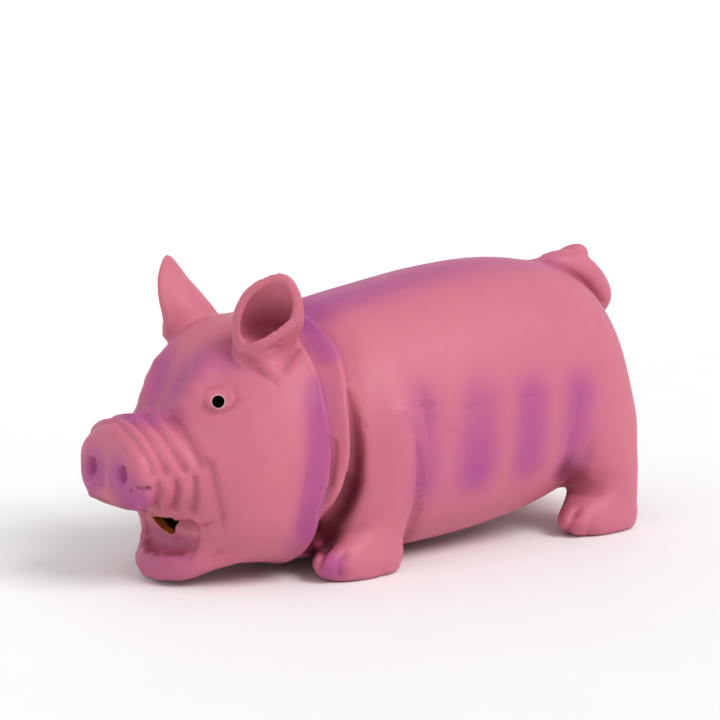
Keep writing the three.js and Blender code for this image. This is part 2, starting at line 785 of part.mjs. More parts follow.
// Front cap: a socket for the reed block, and the sound hole that its slot opens into
const socket = block(
  -clampInner, blockTop + glueGap,
  -clampInner, clampInner,
  capFloor, capDepth + 1,
);
const soundHolePlace = moved(blockTop - slotDepth / 2, 0, 0);
const frontCap = cap
  .subtract(socket)
  .subtract(shaftAt(soundHole / 2, -1, capFloor + 1, soundHolePlace));

// Rear cap: a guard with a ring of inlet holes that keeps the stuffing away from the reed
const rearFrame = moved(0, 0, grunterBack).multiply(new THREE.Matrix4().makeRotationX(Math.PI));
const inletRing = spigotRadius - inletHole / 2 - inletEdge;
const inlets = Array.from({ length: inletHoleCount }, (_, i) => {
  const angle = (2 * Math.PI * i) / inletHoleCount;
  const place = moved(inletRing * Math.cos(angle), inletRing * Math.sin(angle), 0);
  return shaftAt(inletHole / 2, -1, capDepth + 1, place, smallRoundSides);
});
const rearCap = inlets.reduce((pierced, inlet) => pierced.subtract(inlet), cap);

// Reed block: a bar with a slot that is open at the cap and closed at the back
const slot = block(blockTop - slotDepth, blockTop + 1, -slotHalf, slotHalf, blockFront - 1, slotBack);
const reedBlock = block(-blockHalf, blockTop, -blockHalf, blockHalf, blockFront, blockBack).subtract(slot);

// Clamp: the ring round the block that holds the heel of the reed
const heelBottom = blockTop + reedHeelGap;
const clampRoof = heelBottom + reedThickness + reedHeelGap;
const clamp = block(-clampOuter, clampRoof + clampWall, -clampOuter, clampOuter, clampFront, clampBack)
  .subtract(block(-clampInner, clampRoof, -clampInner, clampInner, clampFront - 1, clampBack + 1));

// Reed: a thin strip, flat in the clamp and bent up from the block behind it
const tipBottom = heelBottom + (reedTip - heelBack) * Math.tan(THREE.MathUtils.degToRad(reedRise));
const reedUnderside = [
  [heelBottom, heelFront],
  [heelBottom, heelBack],
  [tipBottom, reedTip],
];
const reedTopside = reedUnderside.map(([x, z]) => [x + reedThickness, z]).reverse();
const reedEdge = [...reedUnderside, ...reedTopside].map(([x, z]) => new THREE.Vector2(x, z));
const reedStrip = new THREE.ExtrudeGeometry(
  new THREE.Shape(reedEdge),
  { depth: 2 * reedHalf, bevelEnabled: false },
);
const reed = solidOf(reedStrip.rotateX(Math.PI / 2), moved(0, reedHalf, 0));

// Stuffing: all that the skin leaves free round the grunter, in a wad for the head and one for the trunk
const stuffingSplit = neckX + frontLegFromNeck / 3;
const grunterShaft = shaftAt(barrelRadius + glueGap, -2 * barrelBehindMouth, grunterBack + 2, grunterFrame);
const plugRecess = bellyShaft(flangeRadius + glueGap).subtract(hollow(2 * glueGap + plugFlangeThickness));
const fitted = (wad) => wad.subtract(grunterShaft).subtract(plugRecess);
const between = (x0, x1) => block(x0, x1, -beyond, beyond, -beyond, beyond);
const headFilling = fitted(bodyHollow(glueGap)
  .intersect(between(-beyond, stuffingSplit - glueGap / 2))
  .subtract(limbHollow(0)));
const trunkFilling = fitted(bodyHollow(glueGap)
  .intersect(between(stuffingSplit + glueGap / 2, beyond))
  .add(limbHollow(glueGap)));

// The toy, with each piece as a named mesh
function pieceOf(name, solid, finish, matrix = new THREE.Matrix4()) {
  const mesh = new THREE.Mesh(geometryOf(solid), new THREE.MeshStandardMaterial(finish));
  mesh.name = name;
  mesh.applyMatrix4(matrix);
  return mesh;
}

const latex = { color: 0xd9808f, roughness: 0.6, metalness: 0 };
const fibre = { color: 0xefece4, roughness: 1, metalness: 0 };
const greyPlastic = { color: 0xb9bcc0, roughness: 0.5, metalness: 0 };
const whitePlastic = { color: 0xe4e2dc, roughness: 0.45, metalness: 0 };
const brass = { color: 0xc8a24c, roughness: 0.35, metalness: 1 };

const grunter = new THREE.Group();
grunter.applyMatrix4(grunterFrame);
grunter.add(
  pieceOf('grunter_barrel', barrel, greyPlastic),
  pieceOf('grunter_front_cap', frontCap, whitePlastic),
  pieceOf('grunter_rear_cap', rearCap, whitePlastic, rearFrame),
  pieceOf('reed_block', reedBlock, whitePlastic),
  pieceOf('reed_clamp', clamp, greyPlastic),
  pieceOf('reed', reed, brass),
);

const toy = new THREE.Group();
toy.add(
  pieceOf('latex_skin', skin, latex),
  pieceOf('belly_plug', bellyPlug, latex),
  pieceOf('head_filling', headFilling, fibre),
  pieceOf('trunk_filling', trunkFilling, fibre),
  grunter,
);

// The origin is on the floor, under the middle of the toy's box
const box = new THREE.Box3().setFromObject(toy);
toy.position.set(-(box.min.x + box.max.x) / 2, -(box.min.y + box.max.y) / 2, -box.min.z);

const pig = new THREE.Group();
pig.add(toy);
export default pig;
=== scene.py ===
import math

import bpy
import numpy as np
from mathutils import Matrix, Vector
from mathutils.bvhtree import BVHTree
from mathutils.noise import fractal


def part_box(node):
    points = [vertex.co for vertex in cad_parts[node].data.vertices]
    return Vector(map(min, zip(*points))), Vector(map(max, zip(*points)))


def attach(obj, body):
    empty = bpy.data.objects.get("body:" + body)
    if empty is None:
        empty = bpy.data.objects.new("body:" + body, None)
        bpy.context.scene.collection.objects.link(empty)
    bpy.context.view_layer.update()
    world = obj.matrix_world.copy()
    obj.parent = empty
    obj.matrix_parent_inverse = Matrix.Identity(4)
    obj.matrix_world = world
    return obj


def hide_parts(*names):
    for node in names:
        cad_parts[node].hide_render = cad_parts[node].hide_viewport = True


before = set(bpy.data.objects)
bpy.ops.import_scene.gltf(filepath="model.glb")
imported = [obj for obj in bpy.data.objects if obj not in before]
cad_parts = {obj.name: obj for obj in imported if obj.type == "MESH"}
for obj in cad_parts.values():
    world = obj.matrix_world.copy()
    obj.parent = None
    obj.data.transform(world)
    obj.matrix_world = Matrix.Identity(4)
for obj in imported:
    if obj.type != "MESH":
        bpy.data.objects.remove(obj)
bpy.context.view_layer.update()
print("frame loaded")

# The casting is worked out in millimetres from the middle of the body, z up from the floor.
# atFrame turns such a place into the frame's metres.
body = {
    "snoutLength": 20,
    "snoutWidth": 40,
    "snoutHeight": 30,
    "snoutCentre": 42,
    "headLength": 52,
    "headWidth": 82,
    "headHeight": 87,
    "neck": -32,
    "trunkLength": 146,
    "trunkWidth": 87,
    "trunkHeight": 98,
    "backFullness": 2.05,
    "bellyFullness": 2.7,
}
headFront = body["neck"] - body["headLength"]
snoutFront = headFront - body["snoutLength"]
rump = body["neck"] + body["trunkLength"]
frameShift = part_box("latex_skin")[0].x * 1000 - snoutFront


def atFrame(points):
    return (np.asarray(points, float) + (frameShift, 0, 0)) / 1000


def atCasting(point):
    return np.asarray(point, float) * 1000 - (frameShift, 0, 0)


# Camera at the photograph's angle
view = {
    "azimuth": -38,
    "elevation": 9,
    "distance": 830,
    "aimHeight": 65.5,
    "lens": 120,
    "sensor": 36,
    "photoSize": 720,
}


def makeCamera():
    azimuth, elevation = math.radians(view["azimuth"]), math.radians(view["elevation"])
    back = Vector((math.sin(azimuth) * math.cos(elevation),
                   -math.cos(azimuth) * math.cos(elevation),
                   math.sin(elevation)))
    aim = Vector((frameShift, 0, view["aimHeight"])) / 1000
    data = bpy.data.cameras.new("camera")
    data.lens = view["lens"]
    data.sensor_width = view["sensor"]
    camera = bpy.data.objects.new("camera", data)
    camera.location = aim + back * view["distance"] / 1000
    camera.rotation_euler = back.to_track_quat("Z", "Y").to_euler()
    bpy.context.scene.collection.objects.link(camera)
    bpy.context.scene.camera = camera
    bpy.context.view_layer.update()
    return camera


camera = makeCamera()
print("camera placed")


# Clay: a field on a grid, below zero inside the form
def softMin(a, b, soft):
    near = np.maximum(soft - np.abs(a - b), 0) / soft
    return np.minimum(a, b) - near * near * soft / 4


def softMax(a, b, soft):
    return -softMin(-a, -b, soft)


def newClay(axes, form):
    x, y, z = np.meshgrid(*axes, indexing="ij", sparse=True)
    return {"axes": axes, "field": form(x, y, z)}


def mould(clay, form, low, high, soft, cut=False):
    # Adds a form inside a window of the clay, or cuts it away
    window = tuple(slice(*np.searchsorted(axis, (a, b))) for axis, a, b in zip(clay["axes"], low, high))
    places = (axis[part] for axis, part in zip(clay["axes"], window))
    x, y, z = np.meshgrid(*places, indexing="ij", sparse=True)
    old, new = clay["field"][window], form(x, y, z)
    clay["field"][window] = softMax(old, -new, soft) if cut else softMin(old, new, soft)


def surfaceOf(clay):
    # One point in each grid cell that the surface crosses, and one face round each crossed edge
    field, axes = clay["field"], clay["axes"]
    solid = field < 0
    corners = [np.array(c) for c in np.ndindex(2, 2, 2)]
    size = np.array(field.shape) - 1
    full = sum(solid[tuple(slice(c[i], c[i] + size[i]) for i in range(3))].astype(np.int8) for c in corners)
    mixed = (full > 0) & (full < 8)
    cells = np.argwhere(mixed)
    numbers = np.full(mixed.shape, -1, np.int32)
    numbers[mixed] = np.arange(len(cells))
    total = np.zeros((len(cells), 3))
    hits = np.zeros(len(cells))
    for corner in corners:
        for axis in range(3):
            if corner[axis]:
                continue
            a = cells + corner
            b = a.copy()
            b[:, axis] += 1
            fieldA, fieldB = field[tuple(a.T)], field[tuple(b.T)]
            crossed = (fieldA < 0) != (fieldB < 0)
            share = np.where(crossed, fieldA / np.where(crossed, fieldA - fieldB, 1), 0)
            place = np.stack([axes[i][a[:, i]] for i in range(3)], 1)
            place[:, axis] += share * (axes[axis][b[:, axis]] - axes[axis][a[:, axis]])
            total += place * crossed[:, None]
            hits += crossed
    points = total / hits[:, None]
    faces = []
    for axis in range(3):
        low = [slice(None)] * 3
        high = [slice(None)] * 3
        low[axis], high[axis] = slice(None, -1), slice(1, None)
        edges = np.argwhere(solid[tuple(low)] != solid[tuple(high)])
        leaving = solid[tuple(edges.T)]
        ring = []
        for across, up in ((-1, -1), (0, -1), (0, 0), (-1, 0)):
            cell = edges.copy()
            cell[:, (axis + 1) % 3] += across
            cell[:, (axis + 2) % 3] += up
            ring.append(numbers[tuple(cell.T)])
        quads = np.stack(ring, 1)
        quads[~leaving] = quads[~leaving][:, ::-1]
        faces.append(quads)
    return points, np.concatenate(faces)


def meshObject(name, points, faces):
    mesh = bpy.data.meshes.new(name)
    mesh.from_pydata(points.tolist(), [], faces)
    mesh.update()
    made = bpy.data.objects.new(name, mesh)
    bpy.context.scene.collection.objects.link(made)
    return made


def clayObject(name, clay):
    points, faces = surfaceOf(clay)
    return meshObject(name, atFrame(points), faces.tolist())


def prismObject(name, outline, way):
    # An outline carried along a way, with its faces outwards whichever way round it was drawn
    outline, way = np.asarray(outline, float), np.asarray(way, float)
    if np.cross(outline, np.roll(outline, -1, axis=0)).sum(0) @ way > 0:
        outline = outline[::-1]
    sides = len(outline)
    faces = [list(range(sides)), list(range(2 * sides - 1, sides - 1, -1))]
    for i in range(sides):
        following = (i + 1) % sides
        faces.append((i, i + sides, following + sides, following))
    return meshObject(name, atFrame(np.concatenate([outline, outline + way])), faces)


def vectorsOf(items, field):
    flat = np.empty(len(items) * 3)
    items.foreach_get(field, flat)
    return flat.reshape(-1, 3)


def applied(obj):
    # The object with its modifiers worked into a new plain mesh
    old = obj.data
    evaluated = obj.evaluated_get(bpy.context.evaluated_depsgraph_get())
    obj.data = bpy.data.meshes.new_from_object(evaluated)
    obj.modifiers.clear()
    obj.data.name = obj.name
    bpy.data.meshes.remove(old)
    return obj


def cutBy(obj, *cutters):
    for cutter in cutters:
        cut = obj.modifiers.new("cut", "BOOLEAN")
        cut.operation = "DIFFERENCE"
        cut.solver = "MANIFOLD"
        cut.object = cutter
    applied(obj)
    for cutter in cutters:
        bpy.data.objects.remove(cutter)
    return obj


# Forms: each takes x, y and z in millimetres and gives the distance to its surface, less than zero inside
def smoothAt(places, values, where):
    places, values = np.asarray(places, float), np.asarray(values, float)
    number = np.arange(len(places))
    before, after = np.maximum(number - 1, 0), np.minimum(number + 1, len(places) - 1)
    slopes = (values[after] - values[before]) / (places[after] - places[before])
    i = np.clip(np.searchsorted(places, where) - 1, 0, len(places) - 2)
    span = places[i + 1] - places[i]
    t = np.clip((where - places[i]) / span, 0, 1)
    rise = t * t * (3 - 2 * t)
    lead, trail = t * (1 - t) ** 2 * span, t * t * (1 - t) * span
    return values[i] * (1 - rise) + values[i + 1] * rise + slopes[i] * lead - slopes[i + 1] * trail


def loftForm(rows):
    # Rows along a line: place, centre, reach up, reach down, half width, power above, power below
    rows = np.array(rows, float)
    places = np.arange(rows[0, 0], rows[-1, 0] + 0.05, 0.1)
    table = {name: smoothAt(rows[:, 0], rows[:, column] ** degree, places)
             for name, column, degree in (("centre", 1, 1), ("above", 2, 2), ("below", 3, 2),
                                          ("half", 4, 2), ("powerAbove", 5, 1), ("powerBelow", 6, 1))}
    for name in ("above", "below", "half"):
        table[name] = np.maximum(table[name], 0.01)
        table[name + "Slope"] = np.gradient(table[name], places)

    def form(along, across, up):
        place = np.clip(along, places[0], places[-1])

        def at(name):
            return np.interp(place, places, table[name])

        offset = up - at("centre")
        isAbove = offset > 0
        reach = np.where(isAbove, at("above"), at("below"))
        reachSlope = np.where(isAbove, at("aboveSlope"), at("belowSlope"))
        power = np.where(isAbove, at("powerAbove"), at("powerBelow")) / 2
        half = at("half")
        high, wide = offset ** 2, across ** 2
        out = high + wide + 1e-9
        share = ((high / reach) ** power + (wide / half) ** power) ** (1 / power) + 1e-9
        radius = out / share
        slope = radius ** 2 / out * (wide * at("halfSlope") / half ** 2 + high * reachSlope / reach ** 2)
        steep = (np.sqrt(out) + np.sqrt(radius)) ** 2 + np.minimum(slope ** 2, 1e6)
        past = np.abs(along - place)
        return (out - radius) / np.sqrt(steep) + past

    return form


def turned(x, y, degrees):
    turn = math.radians(degrees)
    return x * math.cos(turn) - y * math.sin(turn), x * math.sin(turn) + y * math.cos(turn)


def ballForm(centre, radii):
    # Nearly a distance near the ball's surface
    def form(x, y, z):
        parts = [(value - middle) for value, middle in zip((x, y, z), centre)]
        first = np.sqrt(sum((part / radius) ** 2 for part, radius in zip(parts, radii))) + 1e-9
        second = np.sqrt(sum((part / radius ** 2) ** 2 for part, radius in zip(parts, radii))) + 1e-9
        return first * (first - 1) / second

    return form


def strandForm(points, radii, soft=0.0):
    # A round strand through points, with a radius at each
    points = np.asarray(points, float)
    radii = np.broadcast_to(radii, len(points))

    def form(x, y, z):
        nearest = None
        for a, b, radiusA, radiusB in zip(points[:-1], points[1:], radii[:-1], radii[1:]):
            line = b - a
            length = max(line @ line, 1e-9)
            t = np.clip(((x - a[0]) * line[0] + (y - a[1]) * line[1] + (z - a[2]) * line[2]) / length, 0, 1)
            away = np.sqrt((x - a[0] - t * line[0]) ** 2 + (y - a[1] - t * line[1]) ** 2
                           + (z - a[2] - t * line[2]) ** 2)
            reach = away - radiusA - (radiusB - radiusA) * t
            if nearest is None:
                nearest = reach
            else:
                nearest = softMin(nearest, reach, soft) if soft else np.minimum(nearest, reach)
        return nearest

    return form


# Places on the photograph are read in pixels of its 720 by 720 frame, and land on what is seen there
def raysThrough(pixels):
    pixels = np.asarray(pixels, float)
    reach = view["sensor"] / view["lens"] / view["photoSize"]
    half = view["photoSize"] / 2
    local = np.stack([(pixels[:, 0] - half) * reach, (half - pixels[:, 1]) * reach, -np.ones(len(pixels))], 1)
    turn = np.array(camera.matrix_world.to_3x3())
    rays = local @ turn.T
    return atCasting(camera.matrix_world.translation), rays / np.linalg.norm(rays, axis=1)[:, None]


def traced(form, pixels, firstShare=0.75, steps=160, stepShare=0.6):
    # Walks each ray up to a form
    start, rays = raysThrough(pixels)
    gone = np.full(len(rays), view["distance"] * firstShare)
    for _ in range(steps):
        place = start + rays * gone[:, None]
        gone += stepShare * form(place[:, 0], place[:, 1], place[:, 2])
    return start + rays * gone[:, None]


# Rows along the snout, as shares: along, reach up, reach down, half width and how full the lower half is
snoutRows = [
    (0.00, 0.94, 1.05, 0.98, 3.2),
    (0.24, 0.98, 1.02, 1.00, 3.0),
    (0.60, 1.01, 1.00, 1.02, 2.7),
]
# Rows along the head and the trunk: along, top, widest line, bottom, half width and, where it differs from
# the back's, how full the upper half is
headRows = [
    (0.000, 0.665, 0.460, 0.276, 0.57, 2.00),
    (0.077, 0.725, 0.448, 0.195, 0.66, 1.75),
    (0.135, 0.795, 0.443, 0.135, 0.72, 1.66),
    (0.210, 0.868, 0.437, 0.095, 0.80, 1.66),
    (0.327, 0.931, 0.443, 0.066, 0.89, 1.78),
    (0.500, 0.977, 0.448, 0.050, 0.96, 2.00),
    (0.710, 0.992, 0.460, 0.038, 1.00, 2.05),
    (0.880, 0.985, 0.470, 0.030, 1.00, 2.05),
]
trunkRows = [
    (0.000, 0.872, 0.440, 0.024, 0.95),
    (0.100, 0.905, 0.450, 0.015, 0.98),
    (0.250, 0.942, 0.460, 0.016, 1.00),
    (0.420, 0.978, 0.480, 0.030, 1.00),
    (0.600, 0.992, 0.490, 0.075, 0.99),
    (0.760, 0.962, 0.485, 0.155, 0.94),
    (0.860, 0.905, 0.440, 0.220, 0.84, 1.95),
    (0.920, 0.835, 0.400, 0.250, 0.69, 1.75),
    (0.965, 0.725, 0.375, 0.275, 0.50, 1.60),
    (0.990, 0.580, 0.360, 0.300, 0.29, 1.60),
    (1.000, 0.370, 0.360, 0.350, 0.00, 1.60),
]


def bodyRows():
    rows = []
    for along, above, below, half, fullBelow in snoutRows:
        reach = body["snoutHeight"] / 2
        rows.append((snoutFront + along * body["snoutLength"], body["snoutCentre"], above * reach,
                     below * reach, half * body["snoutWidth"] / 2, body["backFullness"], fullBelow))
    for table, start, part in ((headRows, headFront, "head"), (trunkRows, body["neck"], "trunk")):
        for along, top, widest, bottom, half, *peak in table:
            height = body[part + "Height"]
            rows.append((start + along * body[part + "Length"], widest * height, (top - widest) * height,
                         (widest - bottom) * height, half * body[part + "Width"] / 2,
                         peak[0] if peak else body["backFullness"], body["bellyFullness"]))
    return rows


bodyLoft = loftForm(bodyRows())

# The jowl and the rolls of the neck overlap what lies behind them, like steps. Each edge is drawn on the
# photograph, from under the ear down to the throat, with a groove's depth and its widths before and behind it
neckFolds = [
    {
        "edge": [(296, 331), (300, 340.3), (314.3, 362.6), (323.8, 383.3), (327.8, 405.6), (331.8, 428),
                 (332.6, 453.4), (331, 479), (321.4, 509.2), (318, 530)],
        "depth": 2.9, "front": 2.1, "back": 4.2, "swell": 1.0,
    },
    {
        "edge": [(303.9, 313), (326.2, 334), (340.6, 351.4), (346, 373.7), (348.5, 405.6), (351, 431),
                 (351.7, 461.4), (348.5, 479), (340.6, 498)],
        "depth": 2.1, "front": 2.5, "back": 3.8, "swell": 0.7,
    },
    {
        "edge": [(344, 340), (352, 365), (354, 390), (356, 409), (358, 425), (357, 455), (354, 485),
                 (345, 508), (330, 528)],
        "depth": 0.9, "front": 2.2, "back": 3.0, "swell": 0.2,
    },
]
for fold in neckFolds:
    edge = traced(bodyLoft, fold["edge"])
    edge = edge[np.argsort(edge[:, 2])]
    fold["heights"], fold["places"] = edge[:, 2], edge[:, 0]

foldShape = {"setBack": 0.85, "swellAhead": 3.2, "swellWidth": 2.4}


def foldDepth(x, z):
    # A groove behind each edge, with the edge itself swollen in front of it
    depth = 0
    swell = 0
    for fold in neckFolds:
        edge = np.interp(z, fold["heights"], fold["places"])
        past = x - edge - foldShape["setBack"] * fold["front"]
        shape = np.exp(-(past / np.where(past < 0, fold["front"], fold["back"])) ** 2)
        bulge = np.exp(-((past + foldShape["swellAhead"]) / foldShape["swellWidth"]) ** 2)
        depth = np.maximum(depth, fold["depth"] * shape)
        swell = np.maximum(swell, fold["swell"] * bulge)
    return depth - swell


snoutRim = {"round": 3.6, "dish": 0.9, "dishReach": 15}


def outerBody(x, y, z):
    field = bodyLoft(x, y, z) + foldDepth(x, z)
    # The snout ends in a disc, a little hollow, with a round rim
    away = np.hypot(y, z - body["snoutCentre"])
    dish = snoutRim["dish"] * np.exp(-(away / snoutRim["dishReach"]) ** 2)
    return softMax(field, snoutFront + dish - x, snoutRim["round"] * 2)


jaw = {"front": headFront - 3, "width": 40, "length": 34, "depth": 22, "lift": 1.2}
jawShares = [
    (0.00, 0.10, 0.10, 0.00),
    (0.05, 0.35, 0.05, 0.50),
    (0.18, 0.47, 0.01, 0.78),
    (0.40, 0.75, 0.06, 1.05),
    (0.70, 1.10, 0.20, 1.25),
    (1.00, 1.50, 0.50, 1.30),
]


def jawRows():
    rows = []
    for along, top, bottom, half in jawShares:
        middle, reach = (top + bottom) / 2 * jaw["depth"], (top - bottom) / 2 * jaw["depth"]
        rows.append((jaw["front"] + along * jaw["length"], jaw["lift"] + middle, reach, reach,
                     half * jaw["width"] / 2, 2, 2))
    return rows


jawLoft = loftForm(jawRows())

# Lower lip: a thick roll from one corner of the mouth round the front to the other, taller than it is thick
lip = {
    "route": [(-85.4, 0, 6.2), (-84.8, 5, 6.2), (-83, 9.6, 6.4), (-80.2, 13.2, 7.4), (-77.4, 16, 10),
              (-75.4, 18.2, 13.6), (-73.4, 19.8, 18.5), (-71.5, 20.5, 23)],
    "radii": [2.7, 2.7, 2.7, 2.6, 2.5, 2.4, 2.0, 1.2],
    "middle": 6.2,
    "tall": 0.68,
    "tallTo": 4,
    "soft": 2.4,
}


def lipForm(x, y, z):
    above = z - lip["middle"]
    squeezed = np.where(above < lip["tallTo"], above * lip["tall"], above - lip["tallTo"] * (1 - lip["tall"]))
    return strandForm(lip["route"], lip["radii"], 1.5)(x, np.abs(y), lip["middle"] + squeezed)


# The mouth is closed behind by a flat panel that slopes forwards to a crease behind the lip
mouth = {
    "top": (-78.6, 20.4),
    "crease": (-84.0, 8.8),
    "half": 17.2,
    "round": 3,
    "corner": 0.9,
    "rise": 3.4,
}


def mouthForm(x, y, z):
    (topX, topZ), (creaseX, creaseZ) = mouth["top"], mouth["crease"]
    runX, runZ = topX - creaseX, topZ - creaseZ
    panel = ((x - topX) * runZ - (z - topZ) * runX) / math.hypot(runX, runZ)
    ceiling = topZ + mouth["rise"] * np.minimum(np.abs(y) / mouth["half"], 1) ** 1.5
    height = softMax(z - ceiling, creaseZ - z, mouth["corner"])
    hollow = softMax(panel, height, mouth["corner"])
    return softMax(hollow, np.abs(y) - mouth["half"], mouth["round"])


# Legs, as rows up from under the sole: height, drift back, drift in, reach to the toes and back, half width
leg = {"toeIn": 12, "soleRound": 1.6}
frontLeg = {
    "soft": 4,
    "x": body["neck"] + 12,
    "y": 30.5,
    "rows": [
        (-4.0, 0.0, 0.0, 15.0, 8.0, 8.1),
        (0.0, 0.0, 0.0, 20.6, 9.6, 9.9),
        (2.5, 0.1, 0.0, 24.0, 10.4, 10.8),
        (6.0, 0.4, 0.0, 26.4, 11.0, 11.3),
        (9.4, 0.6, 0.0, 25.0, 10.8, 11.0),
        (13.0, 0.8, -0.2, 18.6, 11.0, 11.0),
        (17.0, 1.2, -0.7, 13.6, 11.2, 11.2),
        (27.0, 2.9, -2.8, 12.0, 11.8, 11.8),
        (36.0, 4.0, -4.6, 11.4, 11.2, 11.4),
        (46.0, 4.6, -5.4, 10.6, 10.4, 11.0),
        (56.0, 5.0, -4.0, 10.0, 9.8, 10.2),
        (66.0, 6.0, 0.5, 7.8, 8.4, 8.0),
        (76.0, 7.0, 6.0, 3.6, 4.0, 4.0),
    ],
}
hindLeg = {
    "soft": 7,
    "x": rump - 26,
    "y": 32,
    "rows": [
        (-4.0, 0.0, 0.0, 15.8, 8.6, 8.1),
        (0.0, 0.0, 0.0, 21.0, 9.9, 9.9),
        (2.5, 0.1, 0.0, 24.4, 10.6, 10.8),
        (6.0, 0.1, 0.0, 26.0, 11.2, 11.2),
        (10.0, 0.0, 0.0, 22.4, 11.0, 11.0),
        (15.4, -0.8, 0.0, 13.6, 11.8, 11.6),
        (26.0, -2.6, 0.2, 13.6, 14.0, 12.4),
        (40.0, -3.0, 2.5, 15.0, 14.6, 12.0),
        (52.0, -3.0, 7.0, 12.0, 12.0, 9.5),
        (64.0, -3.0, 12.0, 5.0, 6.0, 4.0),
    ],
}


def legForm(settings):
    rows = np.array(settings["rows"], float)
    heights = rows[:, 0]
    loft = loftForm([(height, 0, back, front, half, 2, 2) for height, _, _, front, back, half in rows])

    def form(x, y, z):
        driftX, driftY = np.interp(z, heights, rows[:, 1]), np.interp(z, heights, rows[:, 2])
        behind, aside = turned(x - settings["x"] - driftX, np.abs(y) - settings["y"] + driftY, leg["toeIn"])
        return loft(z, aside, behind)

    return form


# A deep valley parts the neck from each shoulder
valley = {
    "pixels": [(353, 396), (357, 415), (359.5, 440), (359, 465), (354.5, 488), (346.5, 507), (338, 523),
               (328, 538)],
    "radii": [0.2, 0.9, 2.1, 3.1, 3.8, 4.3, 4.5, 4.4],
    "sunk": 3.0,
    "soft": 3.5,
}
valleyRoute = traced(bodyLoft, valley["pixels"])
valleyRoute[:, 1] += valley["sunk"]


def alongRoute(route, radii, steps):
    # The same route with more points, so that a strand along it has no beads
    route = np.array(route, float)
    number = np.arange(len(route))
    fine = np.linspace(0, len(route) - 1, steps)
    path = np.stack([smoothAt(number, route[:, axis], fine) for axis in range(route.shape[1])], 1)
    return path, smoothAt(number, radii, fine)


valleyPath, valleyRadii = alongRoute(valleyRoute, valley["radii"], 4 * len(valleyRoute))


def valleyForm(x, y, z):
    return strandForm(valleyPath, valleyRadii)(x, -np.abs(y), z)


# Ears: a scooped cone with a rolled rim, open forwards and outwards
ear = {
    "mouthFoot": (-66.0, 23.0, 76.5),
    "tip": (-56.5, 33.5, 102.8),
    "facing": (-0.636, 0.757, -0.15),
    "wall": 2.0,
    "rim": 1.4,
    "rimSoft": 2,
    "floor": 4.6,
    "floorSoft": 4,
    "root": 1.5,
    "rootSoft": 2.0,
    "scoopSoft": 0.8,
    "openingSoft": 1.0,
    "shear": -0.5,
    "lift": 1.2,
    # Along the ear: place, middle across, middle deep, half width, half depth, height and tilt of the opening
    "rows": [
        (-10.0, 6.0, -13.0, 3.5, 4.5, -3.0, 0.50),
        (-4.0, 3.0, -10.0, 6.5, 7.5, -3.0, 0.50),
        (3.0, 0.5, -8.2, 8.2, 9.6, -1.0, 0.45),
        (10.0, 0.0, -6.0, 9.8, 10.5, -0.8, 0.15),
        (17.0, 0.7, -3.2, 10.2, 8.2, -1.0, 0.00),
        (22.5, 1.0, -1.2, 8.4, 5.3, -0.8, 0.00),
        (26.5, 1.0, -0.3, 5.4, 3.2, -0.6, 0.00),
        (29.6, 0.6, 0.0, 0.0, 0.0, -0.2, 0.00),
    ],
}


def earForm(x, y, z):
    foot, tip = np.array(ear["mouthFoot"]), np.array(ear["tip"])
    rise = (tip - foot) / np.linalg.norm(tip - foot)
    across = np.cross(ear["facing"], rise)
    across /= np.linalg.norm(across)
    facing = np.cross(rise, across)
    from0, from1, from2 = x - foot[0], np.abs(y) - foot[1], z - foot[2]
    u, v, w = (axis[0] * from0 + axis[1] * from1 + axis[2] * from2 for axis in (rise, across, facing))
    rows = np.array(ear["rows"], float)
    wall, lift = ear["wall"], ear["lift"]
    outside = loftForm([(row[0], 0, row[4], row[4], row[3], 2, 2) for row in rows])
    inside = loftForm([(row[0] - wall, 0, row[4] - wall / 2, row[4] - wall / 2, row[3] - wall, 2, 2)
                       for row in rows[:-1]] + [(rows[-1][0] - wall, 0, 0, 0, 0, 2, 2)])
    fine = np.linspace(rows[0, 0], rows[-1, 0], 120)

    def at(column):
        return np.interp(u, fine, smoothAt(rows[:, 0], rows[:, column], fine))

    level, aside = w - at(2), v - at(1) - ear["shear"] * w
    outer = outside(u, aside, level)
    opening = w - at(5) - at(6) * v
    scoop = softMax(inside(u, aside, level - lift), ear["floor"] - u, ear["floorSoft"])
    # Below its floor the ear is a solid root
    openAbove = softMin(opening, u - ear["root"], ear["rootSoft"])
    shell = softMax(softMax(outer, -scoop, ear["scoopSoft"]), openAbove, ear["openingSoft"])
    rim = np.sqrt((outer + wall / 2) ** 2 + opening ** 2) - ear["rim"]
    return softMin(shell, softMax(rim, -u, ear["rimSoft"]), ear["openingSoft"])


# Tail: a strand that leaves the back as a ridge, lies down over the rump and curls back up beside itself
tail = {
    "strand": 11.4,
    "thinning": 0.48,
    "thins": 3,
    "route": [
        (78, 0, 86), (87, 0, 90), (94.5, -1, 91.2), (100.5, -2, 89.4), (105.4, -3, 84.8), (108.8, -2.5, 79.6),
        (109, 1.5, 76.6), (107, 6, 79), (104, 7.5, 84.5), (101, 6, 89.5), (99.5, 3.5, 92.4), (100.5, 1, 94.4),
        (102.4, -0.5, 95.6),
    ],
}


def tailPoints():
    points = len(tail["route"])
    path, share = alongRoute(tail["route"], np.linspace(0, 1, points), 4 * points)
    return path, tail["strand"] / 2 * (1 - tail["thinning"] * share ** tail["thins"])


# Eyes: a low ball; its lids are carved afterwards
eye = {
    "x": headFront + 11,
    "z": 61.5,
    "side": 18.2,
    "length": 12,
    "height": 8,
    "bulge": 3.0,
    "turn": 28,
    "soft": 1.2,
}


def eyeForm(x, y, z):
    ball = ballForm((0, 0, 0), (eye["length"] / 2, eye["bulge"], eye["height"] / 2))
    return ball(*turned(x - eye["x"], np.abs(y) - eye["side"], -eye["turn"]), z - eye["z"])


